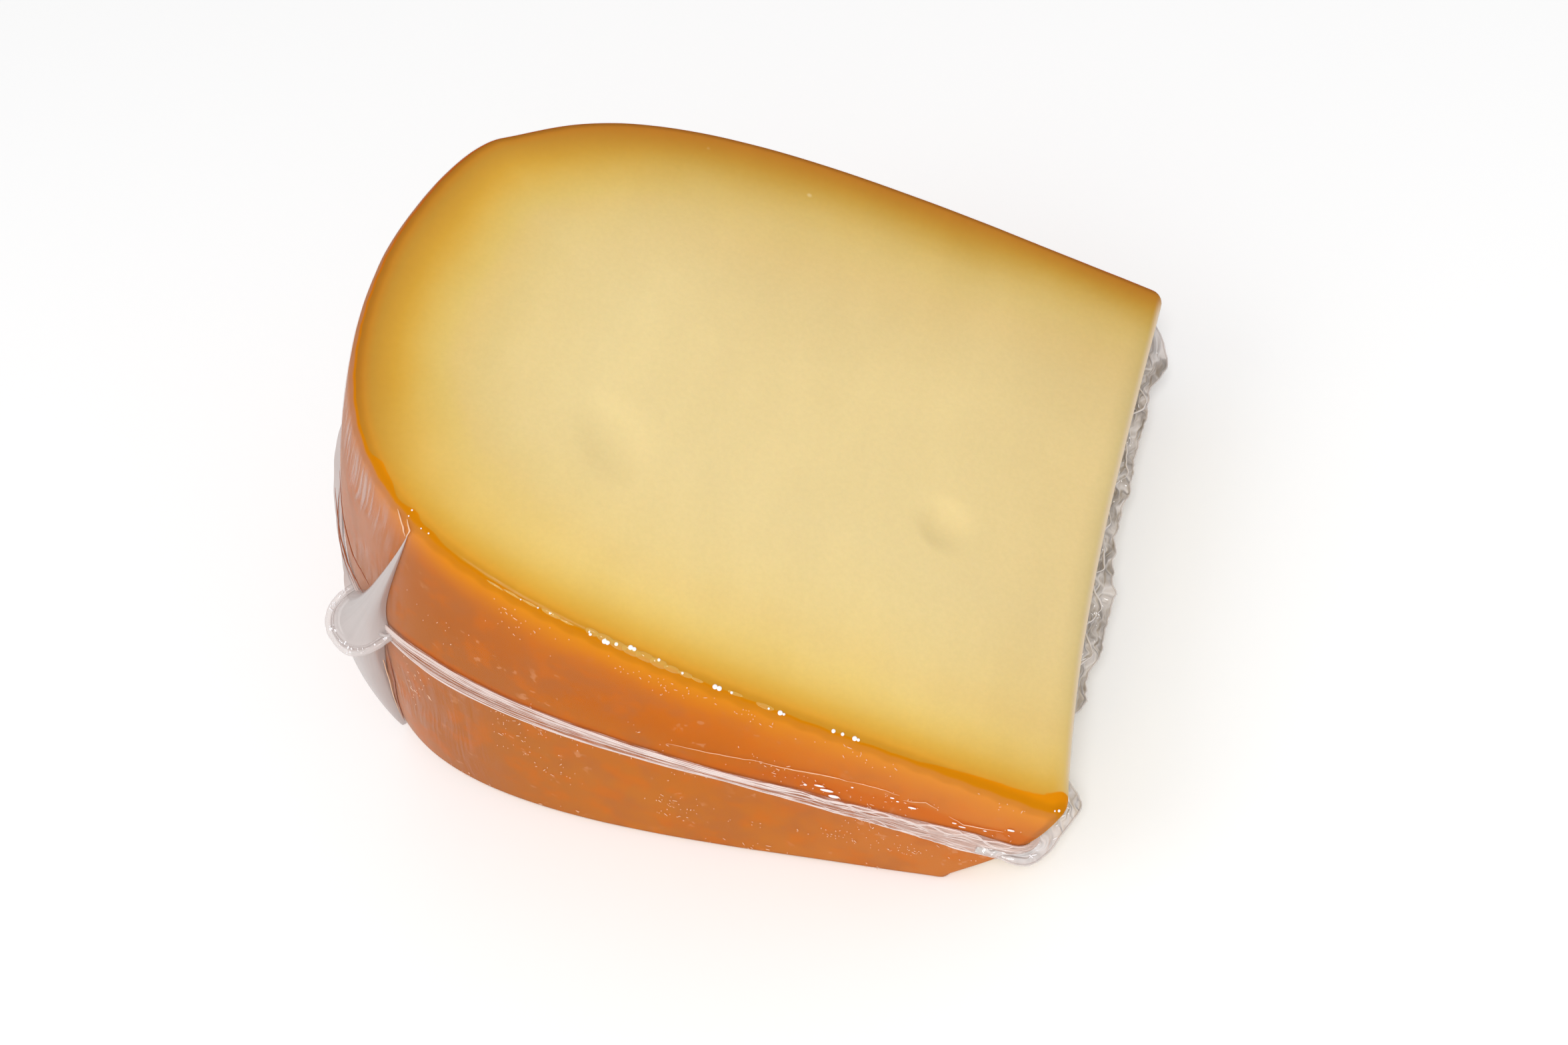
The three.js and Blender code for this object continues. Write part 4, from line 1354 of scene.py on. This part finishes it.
def make_creases(name, creases, material):
    """Thin strands that follow the rind: fine creases of the film, and dark strands of painted shade along
    its folds.
    """
    steps = 40
    taper = np.sin(np.linspace(0.25, math.pi - 0.25, steps))
    lines, thick = [], []
    for index, (size, course) in enumerate(creases):
        at = np.linspace(0, len(course) - 1, steps)
        distance, degrees, out = (np.interp(at, np.arange(len(course)), column) for column in zip(*course))
        wobble = 0.12 * line_waves(at, 0.8, 90 + index) / 150
        lines.append(beside(distance, np.radians(degrees) + wobble, out))
        thick.append(size * taper)
    make_strands(name, lines, thick, material, 0.5, 0.001, sides=6, in_seam=False)


# ---------------------------------------------------------------- stage, light and camera


FLOOR_SIDE = 3000.0
FLOOR_HEIGHT = -0.08
# Where the lights point, in metres
LIT_PLACE = Vector((0, 0, 0.03))


def make_floor(material):
    ways = ((-1, -1), (1, -1), (1, 1), (-1, 1))
    corners = [(FLOOR_SIDE * x, FLOOR_SIDE * y, FLOOR_HEIGHT) for x, y in ways]
    floor = make_object("floor", corners, [(0, 1, 2, 3)], smooth=False)
    floor.data.materials.append(material)


def make_light(name, place, size, power):
    """A round soft light that points at the wedge."""
    light = bpy.data.lights.new(name, "AREA")
    light.shape = "DISK"
    light.size = size
    light.energy = power
    lamp = bpy.data.objects.new(name, light)
    bpy.context.scene.collection.objects.link(lamp)
    lamp.location = place
    lamp.rotation_euler = (LIT_PLACE - Vector(place)).to_track_quat("-Z", "Y").to_euler()


def make_world():
    world = bpy.data.worlds.new("studio")
    world.use_nodes = True
    light = world.node_tree.nodes["Background"].inputs
    light["Color"].default_value = (1, 1, 1, 1)
    light["Strength"].default_value = 0.58
    bpy.context.scene.world = world


def make_camera():
    az, el = CAMERA_AZIMUTH, CAMERA_ELEVATION
    back = Vector((math.sin(az) * math.cos(el), -math.cos(az) * math.cos(el), math.sin(el)))
    level = Vector((0, 0, 1)).cross(back).normalized()
    rise = back.cross(level)
    right = math.cos(CAMERA_ROLL) * level + math.sin(CAMERA_ROLL) * rise
    up = math.cos(CAMERA_ROLL) * rise - math.sin(CAMERA_ROLL) * level
    target = Vector((AXIS_X + CAMERA_TARGET[0], AXIS_Y + CAMERA_TARGET[1], CAMERA_TARGET[2]))
    place = (target + back * CAMERA_DISTANCE) * MM
    data = bpy.data.cameras.new("camera")
    data.lens = LENS
    data.sensor_width = SENSOR
    data.clip_start = 0.01
    camera = bpy.data.objects.new("camera", data)
    bpy.context.scene.collection.objects.link(camera)
    camera.matrix_world = Matrix.Translation(place) @ Matrix((right, up, back)).transposed().to_4x4()
    bpy.context.scene.camera = camera


make_camera()
make_world()
make_floor(floor_material())
make_light("key", (0.3, -0.85, 1.35), 0.5, 13.6)
make_light("fill", (-0.9, -0.7, 1.0), 1.0, 2.8)
bpy.context.scene.view_settings.view_transform = "Standard"

make_cheese(cheese_material())
make_film_skin(clear_film_material())
gathered = gathered_film_material("gathered_film", srgb(224, 196, 184), 0.76, 0.35, 1.0, 0.4)
ridge_film = gathered_film_material("ridge_film", srgb(242, 226, 220), 0.25, 0.5)
web_film = gathered_film_material("web_film", srgb(198, 188, 185), 0.14, 1.6, 0.1)
fringe_film = crumpled_film_material()
bead_film = gathered_film_material("bead_film", srgb(228, 221, 218), 0.62, 0.5, 0.8)
bubble_and_glint_film = bright_film_material("bubble_and_glint_film", srgb(250, 248, 250))
crease_film = bright_film_material("crease_film", srgb(232, 186, 148))
fold_shade = bright_film_material("fold_shade", srgb(150, 74, 22), 0.4)
make_seam_band(gathered)
make_seam_ridges(ridge_film)
make_rim_flange(web_film)
for name, ear in (("front_ear", FRONT_EAR), ("back_ear", BACK_EAR)):
    make_ear_web(name + "_upper_web", ear, ear["upper"], UPPER_FLARE, 91, web_film)
    make_ear_web(name + "_lower_web", ear, ear["lower"], LOWER_FLARE, 92, web_film)
    make_ear_beads(name + "_beads", ear, bead_film)
    make_ear_bubbles(name + "_bubbles", ear, 4, bubble_and_glint_film)
make_end_fringe("end_fringe_upper", 1, 5.0, fringe_film)
make_end_fringe("end_fringe_lower", -1, 8.0, fringe_film)
make_fringe_bead(bead_film)
make_fringe_strands(gathered_film_material("strand_film", srgb(234, 228, 226), 0.22, 0.9, 0.4))
make_edge_pockets(droplet_material())
make_edge_highlight_dots(bubble_and_glint_film)
make_film_glints(bubble_and_glint_film)
make_fringe_glints(bubble_and_glint_film)
make_rind_marks(bright_film_material("rind_crumbs", srgb(240, 202, 170), 0.5))
make_creases("pale_creases", PALE_CREASES, crease_film)
make_creases("dark_creases", FOLD_SHADOW_LINES, fold_shade)
